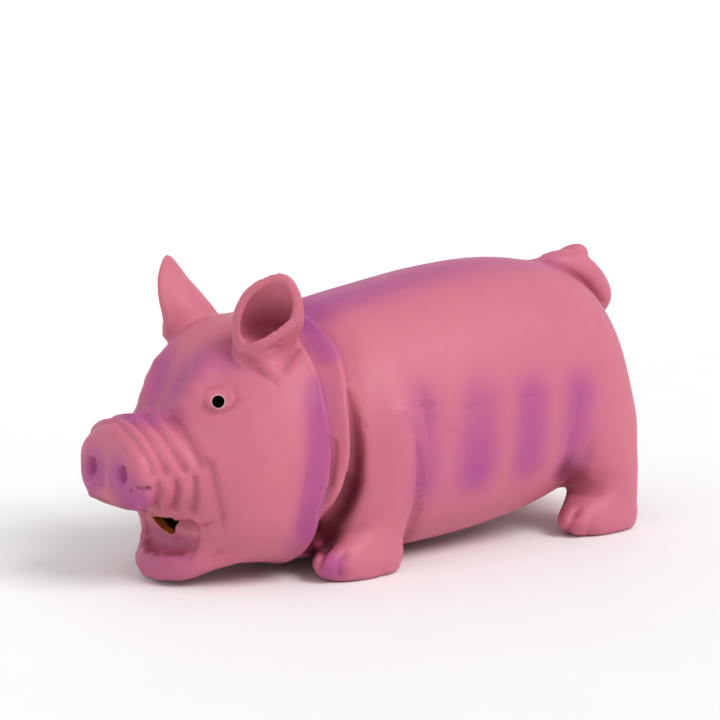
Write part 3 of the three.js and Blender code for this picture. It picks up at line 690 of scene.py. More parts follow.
# The brow is a soft ridge over each eye
brow = {
    "route": [(-79, 10.5, 60), (-76.5, 11.8, 64.5), (-73.5, 12, 69), (-70, 10.6, 72.5), (-65, 8.6, 76),
              (-58, 6, 80)],
    "radius": 2.0,
    "soft": 8,
}


def browForm(x, y, z):
    return strandForm(brow["route"], brow["radius"], 1)(x, np.abs(y), z)


nostril = {"spacing": 18.4, "size": 5, "depth": 3.6, "drop": 2.2}


def nostrilForm(x, y, z):
    centre = (snoutFront, nostril["spacing"] / 2, body["snoutCentre"] - nostril["drop"])
    return ballForm(centre, (nostril["depth"], nostril["size"] / 2, 0.6 * nostril["size"]))(x, np.abs(y), z)


# The clay's grid is finest over the head, coarse along the trunk and a little finer at the ears' height. Its
# last two steps are given as shares of the tail's
grid = {
    "margin": 4,
    "headEnd": -26,
    "tailStart": 84,
    "earStart": 72,
    "top": 108,
    "trunkStep": 2.5,
    "earStep": 0.8,
}


def clayAxes(step, headStep):
    margin, half = grid["margin"], body["trunkWidth"] / 2
    x = np.concatenate([
        np.arange(snoutFront - margin, grid["headEnd"], headStep),
        np.arange(grid["headEnd"], grid["tailStart"], step * grid["trunkStep"]),
        np.arange(grid["tailStart"], rump + 2 * margin, step),
    ])
    y = np.arange(-half - 2 * margin, half + 2 * margin, step)
    z = np.concatenate([np.arange(-margin, grid["earStart"], step),
                        np.arange(grid["earStart"], grid["top"], grid["earStep"] * step)])
    return x, y, z


def belowSoles(x, y, z):
    return z


def skinClay():
    step, headStep = ((1.0, 0.75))
    clay = newClay(clayAxes(step, headStep), outerBody)
    # Each form, the lowest and highest corner that it reaches, how softly it joins, and True for a cut
    parts = [
        (jawLoft, (-92, -32, -4), (-48, 32, 40), 4),
        (legForm(frontLeg), (-56, -54, -5), (12, 54, 80), frontLeg["soft"]),
        (legForm(hindLeg), (54, -50, -5), (122, 50, 70), hindLeg["soft"]),
        (valleyForm, (-60, -56, 0), (0, 56, 76), valley["soft"], True),
        (earForm, (-80, -48, 62), (-36, 48, 112), 3),
        (strandForm(*tailPoints(), 1.5), (70, -24, 58), (130, 24, 112), 2.4),
        (browForm, (-96, -32, 44), (-46, 32, 96), brow["soft"]),
        (eyeForm, (-84, -32, 50), (-60, 32, 72), eye["soft"]),
        (mouthForm, (-104, -26, 2), (-66, 26, 32), 1.2, True),
        (lipForm, (-96, -26, -4), (-64, 26, 30), lip["soft"]),
        (nostrilForm, (-112, -20, 28), (-96, 20, 54), 1.6, True),
        (belowSoles, (-200, -80, -10), (200, 80, 6), leg["soleRound"], True),
    ]
    for part in parts:
        mould(clay, *part)
    return clay


skin = clayObject("latex_skin_fine", skinClay())
print("skin cast", len(skin.data.vertices), "points")

skinTree = BVHTree.FromObject(skin, bpy.context.evaluated_depsgraph_get())


def seenAt(pixels):
    # The places on the skin behind pixels of the photograph
    start, rays = raysThrough(pixels)
    hits = [skinTree.ray_cast(Vector(atFrame(start)), Vector(ray))[0] for ray in rays]
    return np.array([atCasting(hit) for hit in hits if hit is not None])


def onSkin(pixels, steps=5, rounds=6, pastMiddle=0.6):
    # A smooth line through pixels of the photograph, laid on the near side of the skin
    pixels = np.array(pixels, float)
    if len(pixels) > 1:
        pixels = alongRoute(pixels, np.zeros(len(pixels)), steps * (len(pixels) - 1) + 1)[0]
    places = seenAt(pixels)
    # What lies past the middle is drawn by the mirrored side
    near = places[places[:, 1] < pastMiddle]
    near[:, 1] = np.minimum(near[:, 1], 0)
    for _ in range(rounds):
        near[1:-1] = (near[:-2] + 2 * near[1:-1] + near[2:]) / 4
    return near


def besideLine(line, where, normals):
    # Distance from a line on the skin, and which side of it, as seen along the line from outside
    best = np.full(len(where), 1e3)
    side = np.zeros(len(where))
    for a, b in zip(line[:-1], line[1:]):
        way = b - a
        length = max(way @ way, 1e-9)
        t = np.clip(((where - a) @ way) / length, 0, 1)
        away = where - a - t[:, None] * way
        distance = np.linalg.norm(away, axis=1)
        closer = distance < best
        best = np.where(closer, distance, best)
        across = np.cross(np.broadcast_to(way, normals.shape), normals)
        side = np.where(closer, (away * across).sum(1), side)
    return best, side


# Creases, as pixels of the photograph: line, depth, and how wide it is on its left and on its right, in
# millimetres. A depth below zero raises a ridge
creases = [
    # Ribs over the snout
    ([(112, 417), (118, 421), (131.4, 437.8), (146.7, 457), (156, 474)], 1.55, 1.7, 2.7),
    ([(126, 413), (131, 418), (146.7, 431), (160, 454), (168, 472)], 1.6, 1.7, 2.6),
    ([(147, 412), (152, 418), (166, 432.6), (175.3, 451), (186, 470)], 1.7, 1.7, 2.6),
    ([(170, 418), (184, 432), (196, 454), (203, 466)], 1.3, 1.8, 3.6),
    # Lobes under the ribs
    ([(149, 477), (156, 481), (165, 480), (172, 485), (181, 480), (189, 482), (200, 477)], 0.7, 1.6, 1.6),
    ([(161, 484), (160.5, 497), (157, 509)], 1.4, 1.3, 2.5),
    ([(178, 482), (178, 498), (175.3, 510)], 1.5, 1.3, 2.5),
    ([(196, 478), (195.7, 496), (193.7, 510)], 1.4, 1.3, 2.6),
    ([(209, 464), (212, 471), (216, 492), (220, 506), (223, 519)], 1.2, 1.4, 4.2),
    ([(152, 483), (150, 493), (147, 503)], -0.5, 1.7, 1.7),
    ([(169.5, 488), (169, 498), (167, 508)], -0.6, 1.9, 1.9),
    ([(187.5, 487), (187, 498), (185, 508)], -0.6, 1.9, 1.9),
    # Corner of the mouth
    ([(197, 530), (203, 527), (210, 525), (220, 520)], 0.9, 1.6, 1.2),
    ([(197.8, 529), (197.2, 541), (193, 552), (187, 558)], 0.8, 1.3, 1.0),
    ([(146.7, 525.5), (150, 536), (155, 546), (158, 554)], 0.5, 1.0, 1.0),
    # Round the eye
    ([(203.4, 396), (202.6, 401), (204.5, 406), (208.5, 409.8), (214, 411.6), (222, 411.2), (229, 408.2),
      (234, 403.6), (236, 399)], 0.7, 1.1, 1.4),
    ([(204, 393), (209, 389.5), (216, 387.6), (224, 387), (230, 388)], 0.4, 1.2, 1.1),
    ([(233.4, 388.4), (234.8, 393), (236.4, 399), (239.6, 400.8)], 0.5, 1.1, 1.3),
    ([(214, 381.5), (221, 380.4), (230, 382), (234, 386)], 0.35, 1.2, 1.2),
    # Neck
    ([(316, 384), (314, 407), (312, 440), (309, 475), (303, 512), (299, 529)], 1.1, 3.4, 2.9),
    ([(332, 441), (335.8, 446), (335, 465), (331, 486)], 0.7, 0.9, 1.4),
    # Behind the leg, and the loose fold there
    ([(418, 430), (420.6, 445), (422, 470), (421.4, 499), (413, 525), (405, 544)], 1.3, 2.0, 4.0),
    ([(437, 428), (436, 455), (432, 480), (424, 500)], -0.6, 2.6, 1.8),
    # Flank
    ([(414, 406.4), (433, 404.6)], 0.4, 0.8, 0.8),
    ([(462, 409), (478, 405), (495, 399.5)], 0.4, 0.8, 0.8),
    ([(522, 395.4), (540, 394.6)], 0.4, 0.8, 0.8),
    ([(440, 428.5), (458, 431.8)], 0.35, 0.8, 0.8),
    ([(583, 398), (579, 418), (574.7, 438.6), (569.8, 461), (564, 478)], 0.9, 3.0, 4.6),
    ([(575, 476), (584, 486), (598, 492)], 0.5, 3.9, 3.9),
    # Toes
    ([(327, 549), (321, 558), (318, 568)], 1.5, 1.4, 1.4),
    ([(345, 556), (340, 566), (339, 577)], 1.2, 1.4, 1.4),
    ([(577, 510), (571, 521), (568, 533)], 1.5, 1.4, 1.6),
    ([(595, 519), (590, 529), (589, 538)], 1.1, 1.4, 1.4),
    ([(386, 566), (383, 574), (382, 582)], 0.6, 1.3, 1.3),
    # Rim under the disc of the snout
    ([(106, 493), (114, 498), (122, 502), (137, 509)], -0.7, 1.6, 1.6),
    ([(112, 486), (118, 492), (128, 499)], 0.5, 2.1, 2.1),
    # The foot of the ear runs down the cheek as a lobe
    ([(266, 361), (271, 367), (275, 373)], -1.5, 3.4, 3.8),
    ([(246, 359), (256, 368), (266, 376), (275, 382)], 0.9, 1.5, 1.7),
    ([(299, 342), (292, 358), (284, 372), (276, 382)], 0.9, 1.5, 1.7),
    # Where the tail lies on the rump
    ([(547, 260), (567, 271), (583, 282.6), (592, 291), (601, 302)], 0.9, 1.8, 1.2),
]
# Small pits where air was trapped in the mould: pixel, depth and width
pits = [
    ((148.3, 489), 1.5, 0.95), ((143, 490), 1.2, 0.7), ((138.6, 488.4), 0.9, 0.55), ((131, 490), 0.9, 0.6),
    ((103.4, 485), 1.0, 0.6), ((365, 427), 0.6, 0.55), ((402, 478), 0.5, 0.55), ((359, 420), 0.4, 0.5),
    ((321, 488), 0.5, 0.5), ((344, 388), 0.3, 0.5),
]
# Airbrushed paint: line in pixels or in millimetres, width, strength at its start and at its end
airbrush = [
    ([(-31, -6, 83.5), (-17, -6, 88), (5, -6, 92), (29, -6, 95.5), (56, -5, 97), (79, -4, 94)],
     10.5, 1.0, 0.35),
    ([(140, 414), (150, 402), (170.6, 384), (193, 366), (217.6, 355), (242, 353)], 6.8, 0.85, 0.4),
    ([(148, 418), (162, 409), (174, 414)], 5.7, 0.7, 0.35),
    ([(323, 392), (322, 410), (322, 440), (320, 470), (315, 500), (308, 534)], 6.2, 0.75, 0.85),
    ([(306, 322), (315, 334), (326, 352)], 5.4, 1.0, 0.8),
    ([(424, 402), (425, 440), (425, 480)], 8.1, 0.45, 0.6),
    ([(481, 406), (479, 440), (477, 468)], 9.5, 0.55, 0.95),
    ([(533, 398), (531, 430), (529, 460)], 8.1, 0.75, 0.8),
    ([(580, 394), (577, 425), (571, 462)], 8.9, 0.75, 0.6),
    ([(90, 464), (94, 476), (99, 490)], 5.4, 0.9, 0.8),
    ([(119, 476), (125, 488), (133, 501)], 6.8, 0.95, 0.85),
    ([(150, 545), (165, 548), (182, 545)], 7.0, 0.4, 0.3),
    ([(158, 532), (176, 540)], 6.0, 0.3, 0.25),
    ([(238, 345), (243, 352)], 4.9, 0.5, 0.4),
    ([(146, 563), (166, 570), (184, 566)], 6.5, 0.55, 0.4),
    ([(333, 564), (331, 574)], 4.9, 0.8, 0.75),
    ([(300, 548), (306, 556)], 4.9, 0.45, 0.3),
    ([(179, 330), (172, 316)], 4.6, 0.4, 0.2),
]
# Deep, dark places that little light reaches: line, width, strength at its start and at its end
shadows = [
    ([(354, 415), (357, 430), (358.5, 450), (357, 470), (352, 488)], 3.0, 0.2, 0.8),
    ([(353, 482), (348, 500), (341, 512), (333, 525), (325, 536), (316, 545)], 4.8, 0.8, 1.0),
    ([(-36.5, -26.5, 20), (-38.5, -27.5, 15.5), (-39.6, -28, 12), (-41, -28, 8)], 5.0, 0.9, 1.0),
    ([(331, 440), (333, 460), (330, 490), (322, 515), (319, 535)], 2.0, 0.2, 0.6),
    ([(160, 553), (170, 554.5), (182, 554)], 1.6, 0.3, 0.3),
    ([(565, 470), (571, 480)], 5.0, 0.5, 0.3),
    ([(112, 505), (125, 508), (138, 515)], 3.0, 0.35, 0.45),
]

count = len(skin.data.vertices)
places = atCasting(vectorsOf(skin.data.vertices, "co"))
normals = vectorsOf(skin.data.vertex_normals, "vector")
nearSide, nearNormals = places.copy(), normals.copy()
nearSide[:, 1] = -np.abs(places[:, 1])
nearNormals[places[:, 1] > 0, 1] *= -1


def within(line, reach):
    low, high = line.min(0) - reach, line.max(0) + reach
    return np.where(((nearSide > low) & (nearSide < high)).all(1))[0]


# Painted shade gathers along the core of a crease, most in a narrow one
creaseShade = {"narrow": 1.6, "most": 1.2, "core": 0.6}
sunk, raised, crease = np.zeros(count), np.zeros(count), np.zeros(count)
for pixels, depth, left, right in creases:
    line = onSkin(pixels)
    if len(line) < 2:
        continue
    chosen = within(line, 3 * max(left, right))
    distance, side = besideLine(line, nearSide[chosen], nearNormals[chosen])
    width = np.where(side > 0, right, left)
    shape = np.exp(-(distance / width) ** 2)
    if depth > 0:
        sunk[chosen] = np.maximum(sunk[chosen], depth * shape)
        narrow = creaseShade["narrow"] / max(left + right, creaseShade["narrow"])
        core = np.exp(-(distance / (creaseShade["core"] * width)) ** 2)
        mark = min(depth, creaseShade["most"]) * narrow * core
        crease[chosen] = np.maximum(crease[chosen], mark)
    else:
        raised[chosen] = np.maximum(raised[chosen], -depth * shape)
for pixel, depth, width in pits:
    line = onSkin([pixel])
    if len(line):
        shape = np.exp(-(np.linalg.norm(places - line[0], axis=1) / width) ** 4)
        sunk += depth * shape
        # The pits are darkened with painted shade too
        crease = np.maximum(crease, min(0.5 + depth, 1.6) * shape)


# A layer along strokes on the skin, used for the airbrushed paint and for the painted shade
def paintAndShadeLayer(strokes, edge=2.6):
    layer = np.zeros(count)
    for points, width, strong, weak in strokes:
        if len(points[0]) == 2:
            line = onSkin(points, rounds=24)
        else:
            line = alongRoute(points, np.ones(len(points)), 6 * len(points))[0]
        if not len(line):
            continue
        share = np.linspace(0, 1, len(line))
        chosen = within(line, 3 * width)
        gap = np.linalg.norm(nearSide[chosen][:, None, :] - line[None], axis=2)
        strength = strong + (weak - strong) * share[gap.argmin(1)]
        layer[chosen] = np.maximum(layer[chosen], strength * np.exp(-(gap.min(1) / width) ** edge))
    return layer


# Airbrushed paint, and painted shade in the deep places that little light reaches
paint, shade = paintAndShadeLayer(airbrush), paintAndShadeLayer(shadows)
# The ears take little of the paint and of the painted shade in hollows
earTint = {"reach": 1.5, "above": 72, "paint": 0.15, "hollow": 0.2}
onEar = (earForm(*places.T) < earTint["reach"]) & (places[:, 2] > earTint["above"])
paint[onEar] *= earTint["paint"]

places -= normals * (sunk - raised)[:, None]
skin.data.vertices.foreach_set("co", atFrame(places).ravel())
skin.data.update()
pupilPlace = onSkin([(218.3, 401.6)])[0]


def addAttribute(mesh, name, values):
    layer = mesh.attributes.new(name, "FLOAT", "POINT")
    layer.data.foreach_set("value", values)


def hollowness(mesh, points, directions, rounds):
    # How far each point lies below its neighbours, smoothed over the mesh
    edges = np.empty(len(mesh.edges) * 2, np.int32)
    mesh.edges.foreach_get("vertices", edges)
    a, b = edges[::2], edges[1::2]
    degree = np.bincount(edges, minlength=len(points)).clip(1)

    def average(values):
        total = np.bincount(a, values[b], len(points)) + np.bincount(b, values[a], len(points))
        return total / degree

    mean = np.stack([average(points[:, axis]) for axis in range(3)], 1)
    value = ((mean - points) * directions).sum(1)
    for _ in range(rounds):
        value = 0.5 * value + 0.5 * average(value)
    return value


# Painted shade in hollows, from how far each point lies below its neighbours
deepHollow = 0.05
hollow = hollowness(skin.data, places, vectorsOf(skin.data.vertex_normals, "vector"), 6)
hollow[onEar] *= earTint["hollow"]
for name, values in (("airbrush", paint), ("crease", crease), ("shade", shade), ("outside", np.ones(count)),
                     ("hollow", np.clip(hollow / deepHollow, -1, 1))):
    addAttribute(skin.data, name, values)
print("skin carved", len(creases), "creases")


# Materials
def linear(hexColour):
    parts = [int(hexColour[i:i + 2], 16) / 255 for i in (0, 2, 4)]
    return tuple(c / 12.92 if c <= 0.04045 else ((c + 0.055) / 1.055) ** 2.4 for c in parts) + (1,)


class Nodes:
    # Short calls for building a node tree
    def __init__(self, tree):
        self.tree = tree

    def fill(self, node, values):
        for name, value in values.items():
            if isinstance(value, bpy.types.NodeSocket):
                self.tree.links.new(value, node.inputs[name])
            else:
                node.inputs[name].default_value = value

    def add(self, kind, values=None, **settings):
        node = self.tree.nodes.new(kind)
        for name, value in settings.items():
            setattr(node, name, value)
        self.fill(node, values or {})
        return node

    def math(self, operation, a, b=0.0, c=0.0, clamp=False):
        node = self.add("ShaderNodeMath", {0: a, 1: b, 2: c}, operation=operation, use_clamp=clamp)
        return node.outputs[0]

    def mix(self, factor, a, b):
        return self.add("ShaderNodeMix", {0: factor, 6: a, 7: b}, data_type="RGBA").outputs[2]

    def ramp(self, value, low, high, start=0.0, end=1.0):
        values = {"Value": value, "From Min": low, "From Max": high, "To Min": start, "To Max": end}
        return self.add("ShaderNodeMapRange", values, clamp=True, interpolation_type="SMOOTHSTEP").outputs[0]

    def attribute(self, name):
        return self.add("ShaderNodeAttribute", attribute_name=name).outputs["Fac"]

    def noise(self, place, scale, detail, **values):
        values = {"Vector": place, "Scale": scale, "Detail": detail, **values}
        kind = "4D" if "W" in values else "3D"
        return self.add("ShaderNodeTexNoise", values, noise_dimensions=kind).outputs[0]

    def group(self, tree, **values):
        return self.add("ShaderNodeGroup", values, node_tree=tree).outputs[0]

    def bump(self, height, strength, distance):
        values = {"Height": height, "Strength": strength, "Distance": distance}
        return self.add("ShaderNodeBump", values).outputs[0]


def newGroup(name, inputs, outputs):
    tree = bpy.data.node_groups.new(name, "ShaderNodeTree")
    for direction, sockets in (("INPUT", inputs), ("OUTPUT", outputs)):
        for socketName, kind, value in sockets:
            socket = tree.interface.new_socket(socketName, in_out=direction, socket_type=kind)
            if value is not None:
                socket.default_value = value
    nodes = Nodes(tree)
    return nodes, nodes.add("NodeGroupInput"), nodes.add("NodeGroupOutput")


def makeMottle():
    # Slow unevenness of a colour, in three sizes
    nodes, source, out = newGroup(
        "mottle", [("Place", "NodeSocketVector", None), ("Size", "NodeSocketFloat", 60.0)],
        [("Amount", "NodeSocketFloat", None)])
    place, size = source.outputs["Place"], source.outputs["Size"]
    total = 0.0
    for times, weight, shift in ((1, 0.5, 3.1), (3.7, 0.3, 7.7), (11, 0.2, 1.3)):
        noise = nodes.noise(place, nodes.math("MULTIPLY", size, times), 3.0, W=shift)
        total = nodes.math("MULTIPLY_ADD", noise, weight, total)
    nodes.fill(out, {"Amount": total})
    return nodes.tree


def makeGrain():
    # Fine unevenness of a surface: a soft orange peel and sparse pinholes
    nodes, source, out = newGroup(
        "grain", [("Place", "NodeSocketVector", None), ("Size", "NodeSocketFloat", 900.0),
                  ("Pinholes", "NodeSocketFloat", 0.0)],
        [("Height", "NodeSocketFloat", None)])
    place, size = source.outputs["Place"], source.outputs["Size"]
    peel = nodes.noise(place, size, 4.0, Roughness=0.6)
    cells = nodes.add("ShaderNodeTexVoronoi", {"Vector": place, "Scale": nodes.math("MULTIPLY", size, 0.31)})
    hole = nodes.ramp(cells.outputs["Distance"], 0.0, 0.14, 1.0, 0.0)
    rare = nodes.ramp(nodes.noise(place, 45.0, 2.0), 0.56, 0.66)
    hole = nodes.math("MULTIPLY", nodes.math("MULTIPLY", hole, rare), source.outputs["Pinholes"])
    nodes.fill(out, {"Height": nodes.math("SUBTRACT", peel, hole)})
    return nodes.tree


mottle, grain = makeMottle(), makeGrain()


def newMaterial(name, colour, roughness):
    material = bpy.data.materials.new(name)
    material.use_nodes = True
    shader = material.node_tree.nodes["Principled BSDF"]
    nodes = Nodes(material.node_tree)
    nodes.fill(shader, {"Base Color": linear(colour), "Roughness": roughness})
    place = nodes.add("ShaderNodeTexCoord").outputs["Object"]
    return material, nodes, shader, place


latexLook = {
    "base": "c1677f",
    "warm": "c66d7e",
    # Painted shade: deep darkens hollows and creases, shade the deep places listed as shadows, dark the
    # deepest creases and pits
    "deep": "8c2f4c",
    "shade": "460310",
    "dark": "3a0814",
    "inside": "9c5420",
    "insidePale": "bd7a34",
    "airbrush": "9c3c86",
    "pupil": "030503",
    "ring": "e0ccce",
    "pupilRadius": 0.00205,
    "ringRadius": 0.00243,
    "ringBlur": 0.00012,
    "roughness": 0.52,
}


def makeLatex():
    material, nodes, shader, place = newMaterial("latex", latexLook["base"], latexLook["roughness"])
    tone = {name: linear(colour) for name, colour in latexLook.items() if isinstance(colour, str)}
    slow, fine = nodes.group(mottle, Place=place, Size=14.0), nodes.group(mottle, Place=place, Size=120.0)
    colour = nodes.mix(nodes.ramp(slow, 0.35, 0.65), tone["base"], tone["warm"])
    # Painted shade in the hollows of the surface
    colour = nodes.mix(nodes.ramp(nodes.attribute("hollow"), 0.05, 0.9, 0.0, 0.35), colour, tone["deep"])
    # Airbrushed paint lies uneven, with a soft edge
    uneven = nodes.math("MULTIPLY_ADD", fine, 0.5, 0.75)
    paint = nodes.math("MULTIPLY", nodes.attribute("airbrush"), uneven)
    colour = nodes.mix(nodes.math("MULTIPLY", paint, 0.85, clamp=True), colour, tone["airbrush"])
    # Painted shade: darker along creases and pits, in the deep places listed as shadows, and darkest in the
    # deepest creases and pits
    crease = nodes.attribute("crease")
    colour = nodes.mix(nodes.ramp(crease, 0.1, 1.0, 0.0, 0.28), colour, tone["deep"])
    shaded = nodes.math("MULTIPLY", nodes.attribute("shade"), 0.92)
    colour = nodes.mix(shaded, colour, tone["shade"])
    colour = nodes.mix(nodes.ramp(crease, 1.05, 1.5, 0.0, 0.9), colour, tone["dark"])
    # The painted pupil with its thin ring, on both sides
    split = nodes.add("ShaderNodeSeparateXYZ", {"Vector": place}).outputs
    folded = nodes.add("ShaderNodeCombineXYZ", {"X": split["X"], "Y": nodes.math("ABSOLUTE", split["Y"]),
                                                "Z": split["Z"]}).outputs[0]
    middle = atFrame(pupilPlace) * (1, -1, 1)
    away = nodes.add("ShaderNodeVectorMath", {0: folded, 1: middle}, operation="DISTANCE").outputs["Value"]
    blur = latexLook["ringBlur"]
    ring = nodes.ramp(away, latexLook["ringRadius"] - blur, latexLook["ringRadius"] + blur, 0.4, 0.0)
    pupil = nodes.ramp(away, latexLook["pupilRadius"] - blur, latexLook["pupilRadius"] + blur, 1.0, 0.0)
    colour = nodes.mix(pupil, nodes.mix(ring, colour, tone["ring"]), tone["pupil"])
    # Bare latex on the inside is brown
    inside = nodes.mix(nodes.ramp(slow, 0.3, 0.7), tone["inside"], tone["insidePale"])
    rough = nodes.ramp(fine, 0.3, 0.7, latexLook["roughness"] - 0.06, latexLook["roughness"] + 0.08)
    nodes.fill(shader, {
        "Base Color": nodes.mix(nodes.attribute("outside"), inside, colour),
        "Roughness": nodes.math("MULTIPLY_ADD", pupil, -0.1, rough),
        "Metallic": nodes.math("MAXIMUM", pupil, shaded),  # keeps dark places dark in every light
        "Subsurface Weight": 0.12,
        "Subsurface Radius": (1.0, 0.35, 0.25),
        "Subsurface Scale": 0.002,
        "Specular IOR Level": 0.35,
        "Normal": nodes.bump(nodes.group(grain, Place=place, Size=700.0, Pinholes=0.6), 0.28, 0.0004),
    })
    return material


latex = makeLatex()
skin.data.materials.append(latex)
skin.data.shade_smooth()
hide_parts("latex_skin")
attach(skin, "toy")

# Inside: the hollow of the casting, as a coarser clay. The soles and the snout's disc are thicker by the
# given number of walls, and beside the valley only the given share of one is left
inner = {
    "wall": 3.0,
    "soles": 1.4,
    "disc": 2,
    "valley": 0.7,
    "legSoft": 4,
    "soft": 2,
    "step": 2.8,
}


def hollowForm(x, y, z):
    wall, soft = inner["wall"], inner["soft"]
    field = bodyLoft(x, y, z) + foldDepth(x, z)
    for settings in (frontLeg, hindLeg):
        field = softMin(field, legForm(settings)(x, y, z), inner["legSoft"])
    field = softMax(field, inner["soles"] * wall - z, soft)
    field = softMax(field, snoutFront + inner["disc"] * wall - x, soft) + wall
    field = softMax(field, wall - mouthForm(x, y, z), soft)
    return softMax(field, inner["valley"] * wall - valleyForm(x, y, z), soft)


innerAxes = [np.arange(low, high, inner["step"])
             for low, high in ((snoutFront, rump + 2 * inner["step"]), (-50, 50.1), (-2, 100))]
hollowClay = newClay(innerAxes, hollowForm)

# The ragged hole behind the mouth, as its corners on the photograph
airHole = {
    "corners": [(152.3, 516.8), (163, 517.6), (173.3, 517.9), (176, 525.5), (175.8, 532.7), (171.2, 534.2),
                (162, 528.6), (156.4, 522.4)],
    "before": 4,
    "behind": 9,
}
# The round hole in the belly that the stuffing goes in by, and the plug's sizes round it
fillHole = {
    "x": body["neck"] + 76,
    "radius": 12,
    "flange": 4,
    "gap": 0.3,
    "sides": 64,
    "thick": 1.4,
    "low": -6,
    "high": 16,
}


def circle(centre, radius, height, sides):
    turns = np.linspace(0, 2 * math.pi, sides, endpoint=False)
    return np.stack([centre + radius * np.cos(turns), radius * np.sin(turns), np.full(sides, height)], 1)


cavity = clayObject("cavity", hollowClay)
hole = prismObject("hole", seenAt(airHole["corners"]) - (airHole["before"], 0, 0),
                   (airHole["before"] + airHole["behind"], 0, 0))
shaft = prismObject("shaft", circle(fillHole["x"], fillHole["radius"], fillHole["low"], fillHole["sides"]),
                    (0, 0, fillHole["high"] - fillHole["low"]))
cutBy(skin, cavity, hole, shaft)
skin.data.calc_loop_triangles()
print("skin hollowed", len(skin.data.vertices), "points,", len(skin.data.loop_triangles), "triangles")

# Belly plug: a disc that follows the belly, with a flange glued behind the edge of the hole
plugShape = {"half": 20, "across": 0.83, "up": 0.57, "sunk": 0.15, "edgeSoft": 0.8, "soft": 0.5, "join": 0.4}
plugAxes = (
    np.arange(fillHole["x"] - plugShape["half"], fillHole["x"] + plugShape["half"], plugShape["across"]),
    np.arange(-plugShape["half"], plugShape["half"], plugShape["across"]),
    np.arange(-2, 18, plugShape["up"]),
)


def plugForm(x, y, z):
    soft = plugShape["soft"]
    away = np.hypot(x - fillHole["x"], y) - fillHole["radius"]
    surface = outerBody(x, y, z)
    inwards = inner["wall"] + fillHole["gap"]
    bottom = -surface - inwards - fillHole["thick"]
    disc = softMax(away + fillHole["gap"], surface + plugShape["sunk"], plugShape["edgeSoft"])
    flange = softMax(away - fillHole["flange"], surface + inwards, soft)
    return softMin(softMax(disc, bottom, soft), softMax(flange, bottom, soft), plugShape["join"])


plug = clayObject("belly_plug_fine", newClay(plugAxes, plugForm))
addAttribute(plug.data, "outside", np.ones(len(plug.data.vertices)))
plug.data.materials.append(latex)
plug.data.shade_smooth()
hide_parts("belly_plug")
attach(plug, "toy")

# Stuffing: loose fibre pressed into two wads that lie against the skin, round the grunter and over the plug
grunter = {"radius": 12.5, "spare": 1.2, "ahead": 12, "behind": 7}
wadShape = {
    "gap": 0.9,
    "split": body["neck"] + 4,
    "splitGap": 0.6,
    "splitSoft": 5,
    "soft": 2,
    "pocketSpare": 1.2,
    "pocketTop": 12,
    "lump": 1.1,
    "fuzz": 0.45,
}


def middleOf(name):
    low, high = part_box(name)
    return atCasting((Vector(low) + Vector(high)) / 2)


def wadForm(towardsHead):
    front, back = middleOf("grunter_front_cap"), middleOf("grunter_rear_cap")
    way = (back - front) / np.linalg.norm(back - front)
    barrel = strandForm([front - way * grunter["ahead"], back + way * grunter["behind"]],
                        grunter["radius"] + grunter["spare"])
    pocketRadius = fillHole["radius"] + fillHole["flange"] + wadShape["pocketSpare"]

    def form(x, y, z):
        side = x - wadShape["split"] if towardsHead else wadShape["split"] - x
        field = softMax(hollowForm(x, y, z) + wadShape["gap"], side + wadShape["splitGap"],
                        wadShape["splitSoft"])
        field = softMax(field, -barrel(x, y, z), wadShape["soft"])
        pocket = softMax(np.hypot(x - fillHole["x"], y) - pocketRadius, z - wadShape["pocketTop"], 1)
        return softMax(field, -pocket, wadShape["soft"])

    return form


wadLook = {
    "strands": 1500,
    "length": 0.007,
    "thick": 0.00011,
    "seed": 4,
    "colour": "f1eee6",
    "colourLow": "dfd9cc",
    "soakedTo": -66,
}


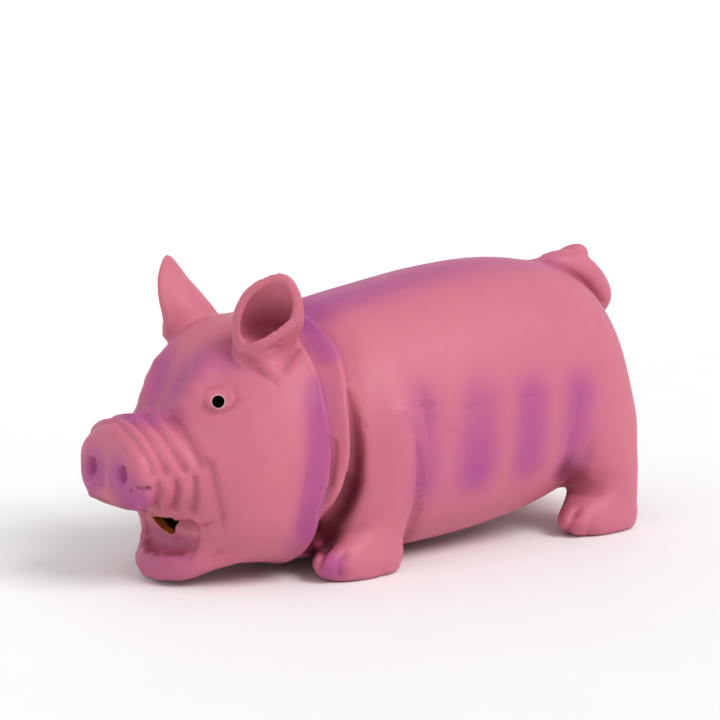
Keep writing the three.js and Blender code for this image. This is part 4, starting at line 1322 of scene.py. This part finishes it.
def strandNodes():
    # Short curled fibres that stand off the surface of a wad
    tree = bpy.data.node_groups.new("fibres", "GeometryNodeTree")
    for direction, name, kind in (("INPUT", "Geometry", "Geometry"), ("INPUT", "Count", "Int"),
                                  ("INPUT", "Fibre", "Material"), ("INPUT", "Seed", "Int"),
                                  ("OUTPUT", "Geometry", "Geometry")):
        tree.interface.new_socket(name, in_out=direction, socket_type="NodeSocket" + kind)
    nodes = Nodes(tree)
    source, out = nodes.add("NodeGroupInput").outputs, nodes.add("NodeGroupOutput")
    total = nodes.add("GeometryNodeAttributeDomainSize", {0: source["Geometry"]}, component="MESH")
    share = nodes.math("DIVIDE", source["Count"], total.outputs["Face Count"])
    pick = nodes.add("FunctionNodeRandomValue", {"Probability": share, "Seed": source["Seed"]},
                     data_type="BOOLEAN")
    feet = nodes.add("GeometryNodeMeshToPoints", {"Mesh": source["Geometry"], "Selection": pick.outputs[3]},
                     mode="FACES")
    arc = nodes.add("GeometryNodeCurveArc", {"Resolution": 5, "Radius": wadLook["length"] / 2,
                                             "Sweep Angle": math.radians(150)})
    ring = nodes.add("GeometryNodeCurvePrimitiveCircle", {"Resolution": 3, "Radius": wadLook["thick"]})
    tube = nodes.add("GeometryNodeCurveToMesh", {"Curve": arc.outputs[0], "Profile Curve": ring.outputs[0],
                                                 "Fill Caps": True})
    turn = nodes.add("FunctionNodeRandomValue", {"Max": (6.28, 6.28, 6.28), "Seed": source["Seed"]},
                     data_type="FLOAT_VECTOR")
    size = nodes.add("FunctionNodeRandomValue", {"Min": 0.5, "Max": 1.2, "Seed": source["Seed"]},
                     data_type="FLOAT")
    placed = nodes.add("GeometryNodeInstanceOnPoints", {
        "Points": feet.outputs[0], "Instance": tube.outputs[0], "Rotation": turn.outputs[0],
        "Scale": size.outputs[1]})
    joined = nodes.add("GeometryNodeJoinGeometry", {0: placed.outputs[0]})
    tree.links.new(source["Geometry"], joined.inputs[0])
    real = nodes.add("GeometryNodeRealizeInstances", {"Geometry": joined.outputs[0]})
    painted = nodes.add("GeometryNodeSetMaterial", {"Geometry": real.outputs[0], "Material": source["Fibre"]})
    nodes.fill(out, {"Geometry": painted.outputs[0]})
    return tree


def soaked(nodes, place, slow, low, high):
    # How far brown latex has run, from its start at low to its ragged end at high, along X
    along = nodes.add("ShaderNodeSeparateXYZ", {"Vector": place}).outputs["X"]
    return nodes.ramp(nodes.math("MULTIPLY_ADD", slow, 0.004, along), low, high, 1.0, 0.0)


def makeFibre():
    material, nodes, shader, place = newMaterial("polyester_fibre", wadLook["colour"], 0.9)
    slow = nodes.group(mottle, Place=place, Size=60.0)
    colour = nodes.mix(nodes.ramp(slow, 0.35, 0.65), linear(wadLook["colour"]), linear(wadLook["colourLow"]))
    # Beside the mouth it is soaked with the brown latex that holds the grunter
    edge = atFrame((wadLook["soakedTo"], 0, 0))[0]
    brown = soaked(nodes, place, slow, edge, edge + 0.004)
    strands = nodes.add("ShaderNodeTexWave", {"Vector": place, "Scale": 260.0, "Distortion": 16.0,
                                              "Detail": 4.0, "Detail Scale": 2.0}).outputs["Fac"]
    nodes.fill(shader, {
        "Base Color": nodes.mix(brown, colour, linear(latexLook["inside"])),
        "Sheen Weight": 0.4,
        "Subsurface Weight": 0.2,
        "Subsurface Scale": 0.004,
        "Normal": nodes.bump(strands, 0.7, 0.0006),
    })
    return material


def pressFibres(mesh, form):
    # What stands off the wad is pressed back into the narrow space beside the skin
    spots = atCasting(vectorsOf(mesh.vertices, "co"))
    for _ in range(4):
        x, y, z = spots.T
        here = form(x, y, z)
        slope = np.stack([form(x + 0.1, y, z), form(x, y + 0.1, z), form(x, y, z + 0.1)], 1) - here[:, None]
        slope /= np.linalg.norm(slope, axis=1)[:, None] + 1e-9
        spots -= slope * np.maximum(here - wadShape["fuzz"], 0)[:, None]
    mesh.vertices.foreach_set("co", atFrame(spots).ravel())
    mesh.update()


fibre = makeFibre()
strandTree = strandNodes()
sockets = {item.name: item.identifier for item in strandTree.interface.items_tree if item.in_out == "INPUT"}
for name, towardsHead in (("head_filling", True), ("trunk_filling", False)):
    wad = clayObject(name + "_fine", newClay(innerAxes, wadForm(towardsHead)))
    for vertex in wad.data.vertices:
        lump = fractal(vertex.co * 90, 0.8, 2.0, 4) * wadShape["lump"] / 1000
        vertex.co -= vertex.normal * (abs(lump) + 0.0001)
    wad.data.materials.append(fibre)
    wad.data.shade_smooth()
    growth = wad.modifiers.new("fibres", "NODES")
    growth.node_group = strandTree
    growth[sockets["Count"]] = wadLook["strands"]
    growth[sockets["Fibre"]] = fibre
    growth[sockets["Seed"]] = wadLook["seed"] + int(towardsHead)
    applied(wad)
    pressFibres(wad.data, wadForm(towardsHead))
    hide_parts(name)
    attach(wad, "toy")
print("stuffing made")


# The grunter keeps its CAD pieces, with moulded plastic and brass on their slots
def makePlastic(name, colour, roughness, gluedTo=None):
    material, nodes, shader, place = newMaterial(name, colour, roughness)
    slow = nodes.group(mottle, Place=place, Size=80.0)
    r, g, b, _ = linear(colour)
    tint = nodes.mix(nodes.ramp(slow, 0.3, 0.7), (r, g, b, 1), (0.86 * r, 0.86 * g, 0.84 * b, 1))
    if gluedTo is not None:
        # Brown latex holds the front of the grunter behind the mouth
        smear = soaked(nodes, place, slow, gluedTo + 0.004, gluedTo + 0.0055)
        tint = nodes.mix(smear, tint, linear(latexLook["inside"]))
    fine = nodes.group(mottle, Place=place, Size=300.0)
    nodes.fill(shader, {
        "Base Color": tint,
        "Roughness": nodes.ramp(fine, 0.3, 0.7, roughness - 0.08, roughness + 0.1),
        "Normal": nodes.bump(nodes.group(grain, Place=place, Size=2400.0), 0.15, 0.0002),
    })
    return material


brassLook = {"bright": "d3ab58", "tarnished": "a97f3c"}


def makeBrass():
    material, nodes, shader, place = newMaterial("reed_brass", brassLook["bright"], 0.3)
    # Rolling marks along the strip
    stretched = nodes.add("ShaderNodeMapping", {"Vector": place, "Scale": (120, 5200, 120)}).outputs[0]
    marks = nodes.noise(stretched, 1.0, 3.0)
    tarnish = nodes.ramp(nodes.group(mottle, Place=place, Size=260.0), 0.4, 0.7)
    nodes.fill(shader, {
        "Base Color": nodes.mix(tarnish, linear(brassLook["bright"]), linear(brassLook["tarnished"])),
        "Metallic": 1,
        "Roughness": nodes.ramp(marks, 0.3, 0.7, 0.24, 0.42),
        "Normal": nodes.bump(marks, 0.2, 0.0001),
    })
    return material


greyPlastic = makePlastic("grunter_grey", "b9bcc0", 0.45)
whitePlastic = makePlastic("grunter_white", "e4e2dc", 0.38)
gluedPlastic = makePlastic("grunter_white_glued", "e4e2dc", 0.38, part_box("grunter_front_cap")[0].x)
for name, material in (("grunter_barrel", greyPlastic), ("reed_clamp", greyPlastic), ("reed", makeBrass()),
                       ("grunter_front_cap", gluedPlastic), ("grunter_rear_cap", whitePlastic),
                       ("reed_block", whitePlastic)):
    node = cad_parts[name]
    for place in node.material_slots:
        place.material = material
print("grunter painted")

# Floor: a wide pale disc that curves up all round, so that it fills the view from any side
floor = {
    "reach": 1.7,
    "curve": 0.6,
    "rise": 0.5,
    "sides": 96,
    "steps": 12,
    "colour": "f3f2f2",
    "colourHigh": "f6f6f5",
}


def makeFloor():
    reach, curve, sides = floor["reach"], floor["curve"], floor["sides"]
    bends = [math.pi / 2 * step / floor["steps"] for step in range(1, floor["steps"] + 1)]
    profile = [(0.35 * reach, 0), (reach, 0)]
    profile += [(reach + curve * math.sin(bend), curve * (1 - math.cos(bend))) for bend in bends]
    profile.append((reach + curve, curve + floor["rise"]))
    points = np.concatenate([np.zeros((1, 3)), *(circle(0, *place, sides) for place in profile)])
    faces = []
    for side in range(sides):
        following = (side + 1) % sides
        faces.append((0, 1 + side, 1 + following))
        for ring in range(len(profile) - 1):
            here, outer = 1 + ring * sides, 1 + (ring + 1) * sides
            faces.append((here + side, outer + side, outer + following, here + following))
    made = meshObject("floor", points, faces)
    made.data.shade_smooth()
    material, nodes, shader, place = newMaterial("floorPaint", floor["colour"], 0.7)
    tint = nodes.ramp(nodes.group(mottle, Place=place, Size=3.0), 0.3, 0.7)
    nodes.fill(shader, {"Base Color": nodes.mix(tint, linear(floor["colour"]), linear(floor["colourHigh"]))})
    made.data.materials.append(material)
    return made


makeFloor()

world = bpy.data.worlds.new("studio")
world.use_nodes = True
Nodes(world.node_tree).fill(world.node_tree.nodes["Background"], {"Color": (1, 1, 1, 1), "Strength": 0.58})
bpy.context.scene.world = world
bpy.context.scene.view_settings.view_transform = "Standard"

# One broad light from the camera's upper right, so that the floor is lit evenly, and a weak one from the left
lights = {
    "key": {"from": (0.3, -0.85, 0.9), "strength": 1.9, "angle": 32},
    "fill": {"from": (-0.9, -0.5, 0.6), "strength": 0.45, "angle": 60},
}
for name, light in lights.items():
    data = bpy.data.lights.new(name, "SUN")
    data.energy = light["strength"]
    data.angle = math.radians(light["angle"])
    lamp = bpy.data.objects.new(name, data)
    lamp.rotation_euler = Vector(light["from"]).to_track_quat("Z", "Y").to_euler()
    bpy.context.scene.collection.objects.link(lamp)
print("stage set")
